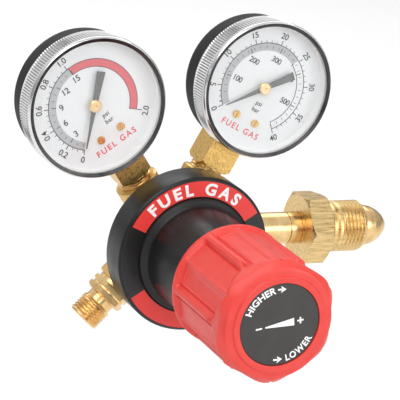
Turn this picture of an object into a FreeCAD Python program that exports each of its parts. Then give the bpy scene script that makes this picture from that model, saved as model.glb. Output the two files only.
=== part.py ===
import FreeCAD, Part
import math
import os

Vector = FreeCAD.Vector
Rotation = FreeCAD.Rotation
Placement = FreeCAD.Placement

# Single-stage acetylene gas regulator, millimetres.
#
# The model is built about the regulator axis: Y runs from the adjusting knob (-Y) to the
# back cap (+Y), Z is up, X points to the inlet. y = 0 is the bonnet's front face. Every port
# is radial. write() then moves the whole model so that the origin is the middle of the
# inlet nut's thread, on its axis.

# ports: angles are measured from +X towards +Z
INLET_ANGLE = 0.0
HIGH_GAUGE_ANGLE = 64.4
LOW_GAUGE_ANGLE = 126.0
OUTLET_ANGLE = -133.4
FLOW_PORT_Y = 29.4
GAUGE_PORT_Y = 26.6
BOSS_R = 9.3
BOSS_END = 30.5
PORT_THREAD_R = 6.85
PORT_THREAD_START = 21.5
THREAD_GAP = 0.03
RUNNING_GAP = 0.05

# body and bonnet
BODY_NECK_R = 29.5
BODY_SHOULDER_R = 26.0
BODY_R = 20.0
BODY_R_Y = 24.0
BODY_BACK_Y = 39.0
CAP_FACE_R = 14.0
CAP_FACE_Y = 42.0
BONNET_R = 33.0
BONNET_SKIRT_Y = 16.0
BONNET_NECK_R = 20.8
BONNET_FRONT_Y = -38.0
DIAPHRAGM_Y = 5.0
DIAPHRAGM_T = 1.0
CHAMBER_R = 20.0
CHAMBER_BACK_Y = 13.0
HIGH_CHAMBER_R = 7.0
HIGH_CHAMBER_Y = 22.0
CROSS_PASSAGE = 17.0
CAP_THREAD_R = 8.0
CAP_END_Y = 35.0
CAP_FLANGE_R = 12.0
CAP_FLANGE_T = 1.5
CAP_HEX_AF = 19.05
CAP_BACK_Y = 49.0
LABEL_R = 32.1
LABEL_HOLE_R = 24.9
LABEL_T = 0.3

# adjusting screw and knob
SCREW_R = 6.35
SCREW_TIP_Y = -30.0
SCREW_END_Y = -72.0
BUSHING_R = 9.0
KNOB_REAR_Y = -32.0
KNOB_RING_Y = -70.0
KNOB_FRONT_Y = -79.2
KNOB_CORNER_R = 25.0
KNOB_REAR_R = 22.7
KNOB_BORE_R = 21.8
KNOB_HUB_R = 10.0
KNOB_HUB_END_Y = -48.5
KNOB_LOBES = 6
KNOB_LOBE_ANGLE = 30.2
KNOB_LOBE_R = 24.3
KNOB_LOBE_RISE = 0.9
DISC_R = 16.5
DISC_FRONT_Y = -78.6
DISC_T = 1.2

# springs and valve
SPRING_R = 10.5
SPRING_WIRE_R = 1.25
BUTTON_T = 4.0
PLATE_FRONT_Y = 2.0
NOZZLE_R = 4.0
VALVE_PIN_R = 1.2
VALVE_HEAD_R = 4.5
VALVE_HEAD_T = 4.0
VALVE_STEM_R = 2.0
VALVE_SPRING_R = 3.2
VALVE_WIRE_R = 0.4
VALVE_SEAT_Y = 23.6

# inlet, radial distances from the regulator axis
NIPPLE_R = 6.95
NIPPLE_HEAD_R = 9.1
NIPPLE_TIP = 105.0
NIPPLE_HEAD_START = 84.4
NIPPLE_GROOVE = 58.3
NIPPLE_MOUTH_R = 1.6
FILTER_END = 102.0
INLET_BORE_R = 3.0
NUT_START = 62.0
NUT_HEX_END = 71.5
NUT_HEX_AF = 28.58
NUT_THREAD_START = 77.5
NUT_THREAD_END = 91.5
NUT_THREAD_R = 11.24
NUT_COUNTERBORE = 84.0
NUT_HEX_TURN = -5.8
INLET_MOUNT = (NUT_THREAD_START + NUT_THREAD_END) / 2

# outlet, radial distances from the regulator axis
OUTLET_HEX_AF = 15.88
OUTLET_HEX_1 = 32.2
OUTLET_NOTCH = 34.6
OUTLET_HEX_2 = 35.6
OUTLET_HEX_END = 38.6
OUTLET_THREAD_START = 41.8
OUTLET_END = 50.5
OUTLET_THREAD_R = 7.14
OUTLET_BORE_R = 2.6

# gauges: depths are measured back from the bezel's lip plane
GAUGE_DISTANCE = 73.0
GAUGE_Y = 14.34
BEZEL_R = 29.1
BEZEL_FRONT = -2.6
BEZEL_BACK = 9.0
BEZEL_LIP_R = 27.3
LENS_R = 28.0
LENS_FRONT = -1.8
LENS_BACK = -0.3
WINDOW_R = 26.8
DIAL_R = 27.5
DIAL_FRONT = 3.6
DIAL_T = 0.6
CASE_R = 27.9
CASE_WALL = 1.2
CASE_BACK = 23.2
CASE_EDGE_R = 5.0
STEM_DEPTH = GAUGE_PORT_Y - GAUGE_Y
STEM_SQUARE = 14.1
STEM_SQUARE_END = 33.3
POINTER_FRONT = 1.6
POINTER_T = 0.4
POINTER_REST = 138.0
POINTER_TIP = 18.0
POINTER_TAIL = 14.0
HUB_R = 2.6
ARBOR_R = 0.75
DIAL_SCREW_X = 4.9
DIAL_SCREW_Z = -14.7

# gauge movement
GEAR_MODULE = 0.4
PINION_TEETH = 8
SECTOR_TEETH = 64
SECTOR_CUT_TEETH = 10
SECTOR_PIVOT_ANGLE = 20.0
SECTOR_REST = 17.0
SECTOR_FRONT = 9.3
SECTOR_T = 1.4
TAIL_ARM = 3.5
TUBE_R = 21.8
PLATE_FRONT = 6.5
PLATE_BACK = 13.2
PLATE_T = 1.0


def turned(outline, sweep=360):
    """Solid of revolution about Z from a closed (radius, height) outline."""
    points = [Vector(radius, 0, height) for radius, height in outline]
    face = Part.Face(Part.makePolygon(points + [points[0]]))
    return face.revolve(Vector(0, 0, 0), Vector(0, 0, 1), sweep)


def bar(radius, start, end):
    """Round bar along Z."""
    return Part.makeCylinder(radius, end - start, Vector(0, 0, start))


def ring(outer, inner, start, end):
    """Round tube along Z."""
    return bar(outer, start, end).cut(bar(inner, start - 1, end + 1))


def prism(sides, corner_r, start, end, turn=0.0):
    """Regular prism along Z with its first corner at the angle turn from +X."""
    angles = [math.radians(turn + 360.0 * k / sides) for k in range(sides + 1)]
    corners = [Vector(corner_r * math.cos(a), corner_r * math.sin(a), start) for a in angles]
    return Part.Face(Part.makePolygon(corners)).extrude(Vector(0, 0, end - start))


def hexagon(across_flats, start, end, turn=0.0):
    return prism(6, across_flats / 2 / math.cos(math.radians(30)), start, end, turn)


def plate(corners, front, thickness):
    """Flat plate in the X-Z plane from its outline, thickness going back."""
    points = [Vector(x, front, z) for x, z in corners]
    return Part.Face(Part.makePolygon(points + [points[0]])).extrude(Vector(0, thickness, 0))


def back(shape):
    """Turn a piece made along Z so that it lies along +Y."""
    piece = shape.copy()
    turn = Placement(Vector(0, 0, 0), Rotation(Vector(1, 0, 0), -90))
    piece.Placement = turn.multiply(piece.Placement)
    return piece


def radial(shape, angle, y):
    """Turn a piece made along Z so that it lies along the port direction at depth y."""
    piece = shape.copy()
    turn = Placement(Vector(0, y, 0), Rotation(Vector(0, 1, 0), 90 - angle))
    piece.Placement = turn.multiply(piece.Placement)
    return piece


def rod_back(radius, front, rear, x=0.0, z=0.0):
    """Round bar along +Y at x, z."""
    return Part.makeCylinder(radius, rear - front, Vector(x, front, z), Vector(0, 1, 0))


def coil(radius, wire_r, front, rear, turns):
    """Round-wire spring along +Y with its two ends at the given depths."""
    height = rear - front - 2 * wire_r
    helix = Part.makeHelix(height / turns, height, radius)
    section = Part.Wire(Part.makeCircle(wire_r, Vector(radius, 0, 0), Vector(0, 1, 0)))
    spring = Part.Wire(helix).makePipeShell([section], True, True)
    spring.translate(Vector(0, 0, front + wire_r))
    return back(spring)


def write(name, shape):
    """Move a finished piece into the inlet frame and write it."""
    piece = shape.removeSplitter() if shape.ShapeType == "Solid" else shape.copy()
    piece.translate(Vector(-INLET_MOUNT, -FLOW_PORT_Y, 0))
    piece.exportStep("parts/" + name + ".step")


# ---- brass body ------------------------------------------------------------------------

def regulator_body():
    front = DIAPHRAGM_Y + DIAPHRAGM_T
    body = turned([(0, front), (BODY_NECK_R, front), (BODY_NECK_R, BONNET_SKIRT_Y + 0.5),
                   (BODY_SHOULDER_R, BONNET_SKIRT_Y + 1.5), (BODY_R, BODY_R_Y),
                   (BODY_R, BODY_BACK_Y - 3), (BODY_R - 3, BODY_BACK_Y),
                   (CAP_FACE_R, BODY_BACK_Y), (CAP_FACE_R - 1, CAP_FACE_Y), (0, CAP_FACE_Y)])
    body = back(body)
    flow_boss = turned([(0, 10), (BOSS_R, 10), (BOSS_R, BOSS_END - 0.8),
                        (BOSS_R - 0.8, BOSS_END), (0, BOSS_END)])
    for angle in (INLET_ANGLE, OUTLET_ANGLE):
        body = body.fuse(radial(flow_boss, angle, FLOW_PORT_Y))
    for angle in (HIGH_GAUGE_ANGLE, LOW_GAUGE_ANGLE):
        body = body.fuse(radial(flow_boss, angle, GAUGE_PORT_Y))
    chamber = bar(CHAMBER_R, 0, CHAMBER_BACK_Y).fuse(bar(NOZZLE_R, 0, HIGH_CHAMBER_Y + 1))
    chamber = chamber.fuse(bar(HIGH_CHAMBER_R, HIGH_CHAMBER_Y, CAP_FACE_Y + 1))
    chamber = chamber.fuse(bar(CAP_THREAD_R, CAP_END_Y - 1, CAP_FACE_Y + 1))
    body = body.cut(back(chamber))
    tapping = bar(PORT_THREAD_R, PORT_THREAD_START, BOSS_END + 5)
    high_passage = tapping.fuse(bar(INLET_BORE_R, 0, BOSS_END))
    low_passage = tapping.fuse(bar(INLET_BORE_R, CROSS_PASSAGE - 3.5, BOSS_END))
    body = body.cut(radial(high_passage, INLET_ANGLE, FLOW_PORT_Y))
    body = body.cut(radial(high_passage, HIGH_GAUGE_ANGLE, GAUGE_PORT_Y))
    for angle, depth in ((OUTLET_ANGLE, FLOW_PORT_Y), (LOW_GAUGE_ANGLE, GAUGE_PORT_Y)):
        body = body.cut(radial(low_passage, angle, depth))
        x = CROSS_PASSAGE * math.cos(math.radians(angle))
        z = CROSS_PASSAGE * math.sin(math.radians(angle))
        body = body.cut(rod_back(2.0, CHAMBER_BACK_Y - 1, depth, x, z))
    return body


def body_cap():
    thread_r = CAP_THREAD_R - THREAD_GAP
    flange_back = CAP_FACE_Y + CAP_FLANGE_T
    cap = turned([(0, CAP_END_Y), (thread_r, CAP_END_Y), (thread_r, CAP_FACE_Y),
                  (CAP_FLANGE_R, CAP_FACE_Y), (CAP_FLANGE_R, flange_back), (0, flange_back)])
    head = hexagon(CAP_HEX_AF, flange_back, CAP_BACK_Y)
    crown = turned([(0, CAP_FACE_Y), (CAP_FLANGE_R, CAP_FACE_Y), (CAP_FLANGE_R, CAP_BACK_Y - 1.2),
                    (CAP_HEX_AF / 2, CAP_BACK_Y), (0, CAP_BACK_Y)])
    return back(cap.fuse(head.common(crown)))


# ---- valve -----------------------------------------------------------------------------

def nozzle():
    return back(ring(NOZZLE_R - THREAD_GAP, VALVE_PIN_R + 0.5, CHAMBER_BACK_Y - 1,
                     VALVE_SEAT_Y - 0.1))


def valve_poppet():
    pin = bar(VALVE_PIN_R, DIAPHRAGM_Y + DIAPHRAGM_T + 0.1, VALVE_SEAT_Y + 1)
    head_back = VALVE_SEAT_Y + VALVE_HEAD_T
    head = turned([(0, VALVE_SEAT_Y), (VALVE_HEAD_R, VALVE_SEAT_Y), (VALVE_HEAD_R, head_back),
                   (VALVE_STEM_R, head_back), (VALVE_STEM_R, head_back + 4),
                   (0, head_back + 4)])
    return back(pin.fuse(head))


def valve_spring():
    front = VALVE_SEAT_Y + VALVE_HEAD_T + 0.02
    return coil(VALVE_SPRING_R, VALVE_WIRE_R, front, CAP_END_Y - 0.02, 5)


# ---- bonnet and diaphragm --------------------------------------------------------------

def bonnet():
    shell = turned([
        (0, BONNET_FRONT_Y), (BONNET_NECK_R - 3, BONNET_FRONT_Y),
        (BONNET_NECK_R, BONNET_FRONT_Y + 3), (BONNET_NECK_R + 0.6, -7.5),
        (BONNET_NECK_R + 1.6, -4.0), (BONNET_NECK_R + 3.2, -2.0), (LABEL_HOLE_R - 0.2, -1.4),
        (LABEL_HOLE_R - 0.2, LABEL_T), (BONNET_R - 0.8, LABEL_T), (BONNET_R, LABEL_T + 0.8),
        (BONNET_R, BONNET_SKIRT_Y - 1.5), (BONNET_R - 1.5, BONNET_SKIRT_Y), (0, BONNET_SKIRT_Y)])
    cavity = turned([(0, BONNET_FRONT_Y + 5), (16, BONNET_FRONT_Y + 5), (16, -1.5), (22, 0.5),
                     (22, DIAPHRAGM_Y), (BODY_NECK_R + THREAD_GAP, DIAPHRAGM_Y),
                     (BODY_NECK_R + THREAD_GAP, BONNET_SKIRT_Y + 1), (0, BONNET_SKIRT_Y + 1)])
    bushing_hole = bar(BUSHING_R, BONNET_FRONT_Y - 1, BONNET_FRONT_Y + 6)
    return back(shell.cut(cavity).cut(bushing_hole))


def bonnet_label():
    return back(ring(LABEL_R, LABEL_HOLE_R, 0, LABEL_T))


def screw_bushing():
    return back(turned([(SCREW_R + RUNNING_GAP, BONNET_FRONT_Y - 1),
                        (BUSHING_R - THREAD_GAP, BONNET_FRONT_Y - 1),
                        (BUSHING_R - THREAD_GAP, BONNET_FRONT_Y + 5),
                        (SCREW_R + RUNNING_GAP, BONNET_FRONT_Y + 5)]))


def diaphragm():
    front = DIAPHRAGM_Y
    rear = DIAPHRAGM_Y + DIAPHRAGM_T - 0.02
    return back(bar(BODY_NECK_R - 0.5, front + 0.02, rear))


def diaphragm_plate():
    return back(turned([(0, PLATE_FRONT_Y), (15, PLATE_FRONT_Y), (16, PLATE_FRONT_Y + 1),
                        (16, DIAPHRAGM_Y - 0.02), (0, DIAPHRAGM_Y - 0.02)]).cut(
                            turned([(0, PLATE_FRONT_Y - 1), (5, PLATE_FRONT_Y - 1),
                                    (5, PLATE_FRONT_Y + 0.6), (0, PLATE_FRONT_Y + 0.6)])))


def spring_button():
    front = SCREW_TIP_Y
    return back(turned([(0, front + 0.05), (8, front + 0.05), (13, front + 1.5),
                        (13, front + BUTTON_T), (8.5, front + BUTTON_T),
                        (8.0, front + BUTTON_T + 3), (0, front + BUTTON_T + 3)]))


def main_spring():
    return coil(SPRING_R, SPRING_WIRE_R, SCREW_TIP_Y + BUTTON_T + 0.02, PLATE_FRONT_Y - 0.02, 6)


# ---- adjusting screw and knob ----------------------------------------------------------

def adjusting_screw():
    return back(turned([(0, SCREW_END_Y), (SCREW_R - 1, SCREW_END_Y),
                        (SCREW_R, SCREW_END_Y + 1), (SCREW_R, SCREW_TIP_Y - 1.5),
                        (3.5, SCREW_TIP_Y), (0, SCREW_TIP_Y)]))


def knob_ring():
    """Lobed ring around the knob's front."""
    points = []
    for k in range(48):
        angle = 2 * math.pi * k / 48
        wave = math.cos(KNOB_LOBES * (angle - math.radians(KNOB_LOBE_ANGLE)))
        radius = KNOB_LOBE_R + KNOB_LOBE_RISE * wave
        # seen from the front, X points right and Z up, so the outline's Y is -Z
        points.append(Vector(radius * math.cos(angle), -radius * math.sin(angle), 0))
    outline = Part.BSplineCurve()
    outline.interpolate(points, PeriodicFlag=True)
    face = Part.Face(Part.Wire(outline.toShape()))
    lobes = face.extrude(Vector(0, 0, KNOB_RING_Y - KNOB_FRONT_Y))
    lobes.translate(Vector(0, 0, KNOB_FRONT_Y))
    crown = turned([(0, KNOB_FRONT_Y), (18.6, KNOB_FRONT_Y), (19.2, KNOB_FRONT_Y + 0.7),
                    (22.4, KNOB_FRONT_Y + 1.2), (24.4, KNOB_FRONT_Y + 3.0),
                    (25.4, KNOB_FRONT_Y + 5.5), (25.4, KNOB_RING_Y), (0, KNOB_RING_Y)])
    return lobes.common(crown)


def knob():
    corner_turn = -(KNOB_LOBE_ANGLE + 30)
    facets = prism(2 * KNOB_LOBES, KNOB_CORNER_R, KNOB_RING_Y - 1, KNOB_REAR_Y, corner_turn)
    envelope = turned([(0, KNOB_RING_Y - 1), (KNOB_CORNER_R - 1.2, KNOB_RING_Y - 1),
                       (KNOB_CORNER_R, KNOB_RING_Y + 1.5), (KNOB_CORNER_R, KNOB_REAR_Y - 3.5),
                       (KNOB_REAR_R + 1.4, KNOB_REAR_Y - 1.0), (KNOB_REAR_R, KNOB_REAR_Y),
                       (0, KNOB_REAR_Y)])
    shell = facets.common(envelope).fuse(knob_ring())
    skirt = turned([(KNOB_BORE_R, KNOB_REAR_Y + 1), (KNOB_BORE_R, KNOB_RING_Y + 3),
                    (KNOB_HUB_R, KNOB_RING_Y + 3), (KNOB_HUB_R, KNOB_HUB_END_Y),
                    (0, KNOB_HUB_END_Y), (0, KNOB_REAR_Y + 1)])
    screw_hole = bar(SCREW_R + 0.01, SCREW_END_Y, KNOB_HUB_END_Y + 1)
    disc_seat = bar(DISC_R + THREAD_GAP, KNOB_FRONT_Y - 1, DISC_FRONT_Y + DISC_T)
    return back(shell.cut(skirt).cut(screw_hole).cut(disc_seat))


def knob_disc():
    return back(turned([(0, DISC_FRONT_Y), (DISC_R - 0.3, DISC_FRONT_Y),
                        (DISC_R, DISC_FRONT_Y + 0.3), (DISC_R, DISC_FRONT_Y + DISC_T),
                        (0, DISC_FRONT_Y + DISC_T)]))


# ---- inlet and outlet ------------------------------------------------------------------

def inlet_nipple():
    groove = NIPPLE_GROOVE
    head = NIPPLE_HEAD_START
    thread_r = PORT_THREAD_R - THREAD_GAP
    nipple = turned([
        (INLET_BORE_R, PORT_THREAD_START + 0.5), (thread_r, PORT_THREAD_START + 0.5),
        (thread_r, BOSS_END), (NIPPLE_R, BOSS_END), (NIPPLE_R, groove),
        (NIPPLE_R - 0.35, groove), (NIPPLE_R - 0.35, groove + 0.5), (NIPPLE_R, groove + 0.5),
        (NIPPLE_R, head), (NIPPLE_HEAD_R, head), (NIPPLE_HEAD_R, 93.5), (8.8, 96.2),
        (7.9, 98.8), (6.3, 101.2), (4.3, 103.2), (2.6, 104.5), (2.0, NIPPLE_TIP),
        (NIPPLE_MOUTH_R, NIPPLE_TIP), (NIPPLE_MOUTH_R, FILTER_END), (INLET_BORE_R, FILTER_END)])
    flats = hexagon(15.88, BOSS_END, BOSS_END + 6)
    chamfer = turned([(NIPPLE_R, BOSS_END), (8.4, BOSS_END), (9.17, BOSS_END + 0.7),
                      (9.17, BOSS_END + 5.3), (8.4, BOSS_END + 6), (NIPPLE_R, BOSS_END + 6)])
    nipple = nipple.fuse(flats.common(chamfer))
    return radial(nipple, INLET_ANGLE, FLOW_PORT_Y)


def inlet_filter():
    screen = ring(INLET_BORE_R - THREAD_GAP, NIPPLE_MOUTH_R, 86, FILTER_END - 0.1)
    return radial(screen, INLET_ANGLE, FLOW_PORT_Y)


def inlet_nut():
    hexagonal = hexagon(NUT_HEX_AF, NUT_START, NUT_THREAD_START, NUT_HEX_TURN)
    corner_r = NUT_HEX_AF / 2 / math.cos(math.radians(30))
    crown = turned([(0, NUT_START), (corner_r - 0.9, NUT_START), (corner_r, NUT_START + 0.5),
                    (corner_r, NUT_HEX_END), (10.3, NUT_HEX_END + 3.6),
                    (10.3, NUT_THREAD_START), (0, NUT_THREAD_START)])
    nut = hexagonal.common(crown)
    nut = nut.fuse(bar(10.3, NUT_HEX_END, NUT_THREAD_END))
    nut = nut.fuse(turned([(0, NUT_THREAD_START), (NUT_THREAD_R, NUT_THREAD_START),
                           (NUT_THREAD_R, NUT_THREAD_END - 1.0),
                           (NUT_THREAD_R - 1.0, NUT_THREAD_END), (0, NUT_THREAD_END)]))
    nut = nut.cut(bar(NIPPLE_R + RUNNING_GAP, NUT_START - 1, NUT_THREAD_END + 1))
    nut = nut.cut(bar(NIPPLE_HEAD_R + 0.2, NUT_COUNTERBORE, NUT_THREAD_END + 1))
    return radial(nut, INLET_ANGLE, FLOW_PORT_Y)


def outlet_fitting():
    corner_r = OUTLET_HEX_AF / 2 / math.cos(math.radians(30))
    thread_r = PORT_THREAD_R - THREAD_GAP
    fitting = bar(thread_r, PORT_THREAD_START + 0.5, BOSS_END)
    fitting = fitting.fuse(bar(7.6, BOSS_END, OUTLET_HEX_END))
    hexagonal = hexagon(OUTLET_HEX_AF, OUTLET_HEX_1, OUTLET_HEX_END, 15.0)
    crown = turned([(0, OUTLET_HEX_1), (corner_r - 0.7, OUTLET_HEX_1),
                    (corner_r, OUTLET_HEX_1 + 0.5), (corner_r, OUTLET_NOTCH - 0.4),
                    (corner_r - 1.2, OUTLET_NOTCH), (corner_r - 1.2, OUTLET_HEX_2),
                    (corner_r, OUTLET_HEX_2 + 0.4), (corner_r, OUTLET_HEX_END - 0.9),
                    (corner_r - 1.4, OUTLET_HEX_END), (0, OUTLET_HEX_END)])
    fitting = fitting.fuse(hexagonal.common(crown))
    fitting = fitting.fuse(turned([(0, OUTLET_HEX_END), (6.0, OUTLET_HEX_END),
                                   (6.0, OUTLET_THREAD_START), (0, OUTLET_THREAD_START)]))
    fitting = fitting.fuse(turned([(0, OUTLET_THREAD_START),
                                   (OUTLET_THREAD_R - 0.6, OUTLET_THREAD_START),
                                   (OUTLET_THREAD_R, OUTLET_THREAD_START + 0.6),
                                   (OUTLET_THREAD_R, OUTLET_END - 0.7),
                                   (OUTLET_THREAD_R - 0.7, OUTLET_END), (0, OUTLET_END)]))
    seat_depth = 3.0
    seat = turned([(0, OUTLET_END - seat_depth), (OUTLET_BORE_R, OUTLET_END - seat_depth),
                   (5.2, OUTLET_END), (5.2, OUTLET_END + 1), (0, OUTLET_END + 1)])
    fitting = fitting.cut(bar(OUTLET_BORE_R, PORT_THREAD_START, OUTLET_END)).cut(seat)
    return radial(fitting, OUTLET_ANGLE, FLOW_PORT_Y)


# ---- gauges, in a gauge frame: Y back from the lip plane, Z away from the regulator -----

def gauge_case():
    shell = bar(CASE_R, DIAL_FRONT + DIAL_T, CASE_BACK)
    rear_edges = [e for e in shell.Edges if len(e.Vertexes) == 1 and e.CenterOfMass.z > 20]
    shell = shell.makeFillet(CASE_EDGE_R, rear_edges)
    inside = bar(CASE_R - CASE_WALL, DIAL_FRONT, CASE_BACK - CASE_WALL)
    inner_edges = [e for e in inside.Edges if len(e.Vertexes) == 1 and e.CenterOfMass.z > 20]
    inside = inside.makeFillet(CASE_EDGE_R - CASE_WALL, inner_edges)
    shell = back(shell.cut(inside))
    stem_hole = Part.makeCylinder(7.0, 20, Vector(0, STEM_DEPTH, -CASE_R - 5), Vector(0, 0, 1))
    return shell.cut(stem_hole)


def gauge_bezel():
    return back(turned([(BEZEL_LIP_R, BEZEL_FRONT), (BEZEL_R - 0.7, BEZEL_FRONT),
                        (BEZEL_R, BEZEL_FRONT + 0.7), (BEZEL_R, BEZEL_BACK - 0.3),
                        (BEZEL_R - 0.3, BEZEL_BACK), (CASE_R + THREAD_GAP, BEZEL_BACK),
                        (CASE_R + THREAD_GAP, DIAL_FRONT), (LENS_R + 0.03, LENS_BACK),
                        (LENS_R + 0.03, LENS_FRONT), (BEZEL_LIP_R, LENS_FRONT)]))


def gauge_lens():
    return back(turned([(0, LENS_FRONT - 0.5), (BEZEL_LIP_R - 1.0, LENS_FRONT - 0.3),
                        (BEZEL_LIP_R - 0.2, LENS_FRONT), (LENS_R, LENS_FRONT),
                        (LENS_R, LENS_BACK), (0, LENS_BACK)]))


def gauge_gasket():
    return back(ring(CASE_R - 0.1, WINDOW_R, LENS_BACK, DIAL_FRONT))


def gauge_dial():
    dial = bar(DIAL_R, DIAL_FRONT, DIAL_FRONT + DIAL_T)
    dial = back(dial).cut(rod_back(1.5, DIAL_FRONT - 1, DIAL_FRONT + 2))
    for x in (-DIAL_SCREW_X, DIAL_SCREW_X):
        dial = dial.cut(rod_back(0.95, DIAL_FRONT - 1, DIAL_FRONT + 2, x, DIAL_SCREW_Z))
    return dial


def dial_screws():
    screws = []
    for x in (-DIAL_SCREW_X, DIAL_SCREW_X):
        screw = bar(1.6, DIAL_FRONT - 0.8, DIAL_FRONT)
        screw = screw.fuse(bar(0.9, DIAL_FRONT, PLATE_FRONT + PLATE_T + 0.5))
        screw = screw.cut(Part.makeBox(0.4, 4, 0.4, Vector(-0.2, -2, DIAL_FRONT - 0.8)))
        screw = back(screw)
        screw.translate(Vector(x, 0, DIAL_SCREW_Z))
        screws.append(screw)
    return Part.makeCompound(screws)


def turn_pointer(shape):
    """Turn a piece that points up so that it points at the scale's zero."""
    piece = shape.copy()
    piece.rotate(Vector(0, 0, 0), Vector(0, 1, 0), -POINTER_REST)
    return piece


def gauge_pointer():
    blade = plate([(-0.3, POINTER_TIP), (-0.95, 2.0), (-1.1, -2.0), (-1.75, -POINTER_TAIL),
                   (1.75, -POINTER_TAIL), (1.1, -2.0), (0.95, 2.0), (0.3, POINTER_TIP)],
                  POINTER_FRONT, POINTER_T)
    return turn_pointer(blade.cut(rod_back(ARBOR_R, POINTER_FRONT - 1, POINTER_FRONT + 1)))


def pointer_hub():
    hub = turned([(0, 0.45), (2.1, 0.45), (HUB_R, 0.8), (HUB_R, POINTER_FRONT),
                  (0, POINTER_FRONT)])
    return back(hub)


def pinion_outline():
    """Corners of the pinion's toothed outline, first tooth towards the sector."""
    pitch_r = GEAR_MODULE * PINION_TEETH / 2
    corners = []
    for k in range(PINION_TEETH):
        centre = SECTOR_PIVOT_ANGLE + 360.0 * k / PINION_TEETH
        for offset, radius in ((-14, pitch_r - 0.5), (-6, pitch_r + 0.28), (6, pitch_r + 0.28),
                               (14, pitch_r - 0.5)):
            angle = math.radians(centre + offset)
            corners.append((radius * math.cos(angle), radius * math.sin(angle)))
    return corners


def pinion_arbor():
    front = POINTER_FRONT + POINTER_T
    arbor = rod_back(ARBOR_R - 0.02, POINTER_FRONT, PLATE_BACK + PLATE_T)
    collar = rod_back(1.2, front, DIAL_FRONT - 0.2)
    teeth = plate(pinion_outline(), SECTOR_FRONT - 0.3, SECTOR_T + 0.6)
    return arbor.fuse(collar).fuse(teeth)


def sector_pivot():
    distance = GEAR_MODULE * (PINION_TEETH + SECTOR_TEETH) / 2
    angle = math.radians(SECTOR_PIVOT_ANGLE)
    return distance * math.cos(angle), distance * math.sin(angle)


def sector_tail():
    """Where the link is pinned to the sector's tail at rest."""
    x, z = sector_pivot()
    angle = math.radians(SECTOR_PIVOT_ANGLE - SECTOR_REST)
    return x + TAIL_ARM * math.cos(angle), z + TAIL_ARM * math.sin(angle)


def sector_outline():
    """Corners of the sector gear about its pivot, a tooth gap facing the pinion at rest."""
    pitch_r = GEAR_MODULE * SECTOR_TEETH / 2
    step = 360.0 / SECTOR_TEETH
    facing = SECTOR_PIVOT_ANGLE + 180
    first = facing - step * (SECTOR_CUT_TEETH - 2.5)
    corners = []
    for k in range(SECTOR_CUT_TEETH):
        centre = first + step * k
        for offset, radius in ((-1.9, pitch_r - 0.5), (-0.75, pitch_r + 0.28),
                               (0.75, pitch_r + 0.28), (1.9, pitch_r - 0.5)):
            angle = math.radians(centre + offset)
            corners.append((radius * math.cos(angle), radius * math.sin(angle)))
    return corners


def sector_gear():
    pivot_x, pivot_z = sector_pivot()
    teeth = sector_outline()
    rim_inner = GEAR_MODULE * SECTOR_TEETH / 2 - 2.2
    first = math.atan2(teeth[0][1], teeth[0][0])
    last = math.atan2(teeth[-1][1], teeth[-1][0])
    hub_side = [(2.0 * math.cos(last + 1.2), 2.0 * math.sin(last + 1.2)),
                (2.0 * math.cos(first - 1.2), 2.0 * math.sin(first - 1.2))]
    gear = plate(teeth + hub_side, SECTOR_FRONT, SECTOR_T)
    middle = (first + last) / 2 + (math.pi if abs(first - last) > math.pi else 0)
    window = []
    for angle, radius in ((-0.25, rim_inner), (0.25, rim_inner), (0.25, 5.0), (-0.25, 5.0)):
        window.append((radius * math.cos(middle + angle), radius * math.sin(middle + angle)))
    gear = gear.cut(plate(window, SECTOR_FRONT - 1, SECTOR_T + 2))
    gear.translate(Vector(pivot_x, 0, pivot_z))
    tail_x, tail_z = sector_tail()
    gear = gear.fuse(rod_back(2.1, SECTOR_FRONT, SECTOR_FRONT + SECTOR_T, pivot_x, pivot_z))
    gear = gear.fuse(rod_back(1.3, SECTOR_FRONT, SECTOR_FRONT + SECTOR_T, tail_x, tail_z))
    side_x = -(tail_z - pivot_z) / TAIL_ARM * 1.1
    side_z = (tail_x - pivot_x) / TAIL_ARM * 1.1
    arm = plate([(pivot_x + side_x, pivot_z + side_z), (tail_x + side_x, tail_z + side_z),
                 (tail_x - side_x, tail_z - side_z), (pivot_x - side_x, pivot_z - side_z)],
                SECTOR_FRONT, SECTOR_T)
    gear = gear.fuse(arm)
    gear = gear.fuse(rod_back(0.72, PLATE_FRONT, PLATE_BACK + PLATE_T, pivot_x, pivot_z))
    gear = gear.fuse(rod_back(0.5, SECTOR_FRONT + SECTOR_T, 12.1, tail_x, tail_z))
    return gear


def link_end():
    """The link's far end, beside the tube's tip at rest."""
    return 17.2, -7.9


def movement_link():
    start_x, start_z = sector_tail()
    end_x, end_z = link_end()
    length = math.hypot(end_x - start_x, end_z - start_z)
    across_x = -(end_z - start_z) / length * 0.7
    across_z = (end_x - start_x) / length * 0.7
    front = SECTOR_FRONT + SECTOR_T + 0.4
    strip = plate([(start_x + across_x, start_z + across_z), (end_x + across_x, end_z + across_z),
                   (end_x - across_x, end_z - across_z),
                   (start_x - across_x, start_z - across_z)], front, 0.8)
    strip = strip.fuse(rod_back(1.2, front, front + 0.8, start_x, start_z))
    strip = strip.fuse(rod_back(1.0, front, front + 0.8, end_x, end_z))
    strip = strip.cut(rod_back(0.55, front - 1, front + 2, start_x, start_z))
    return strip.cut(rod_back(0.55, front - 1, front + 2, end_x, end_z))


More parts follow.
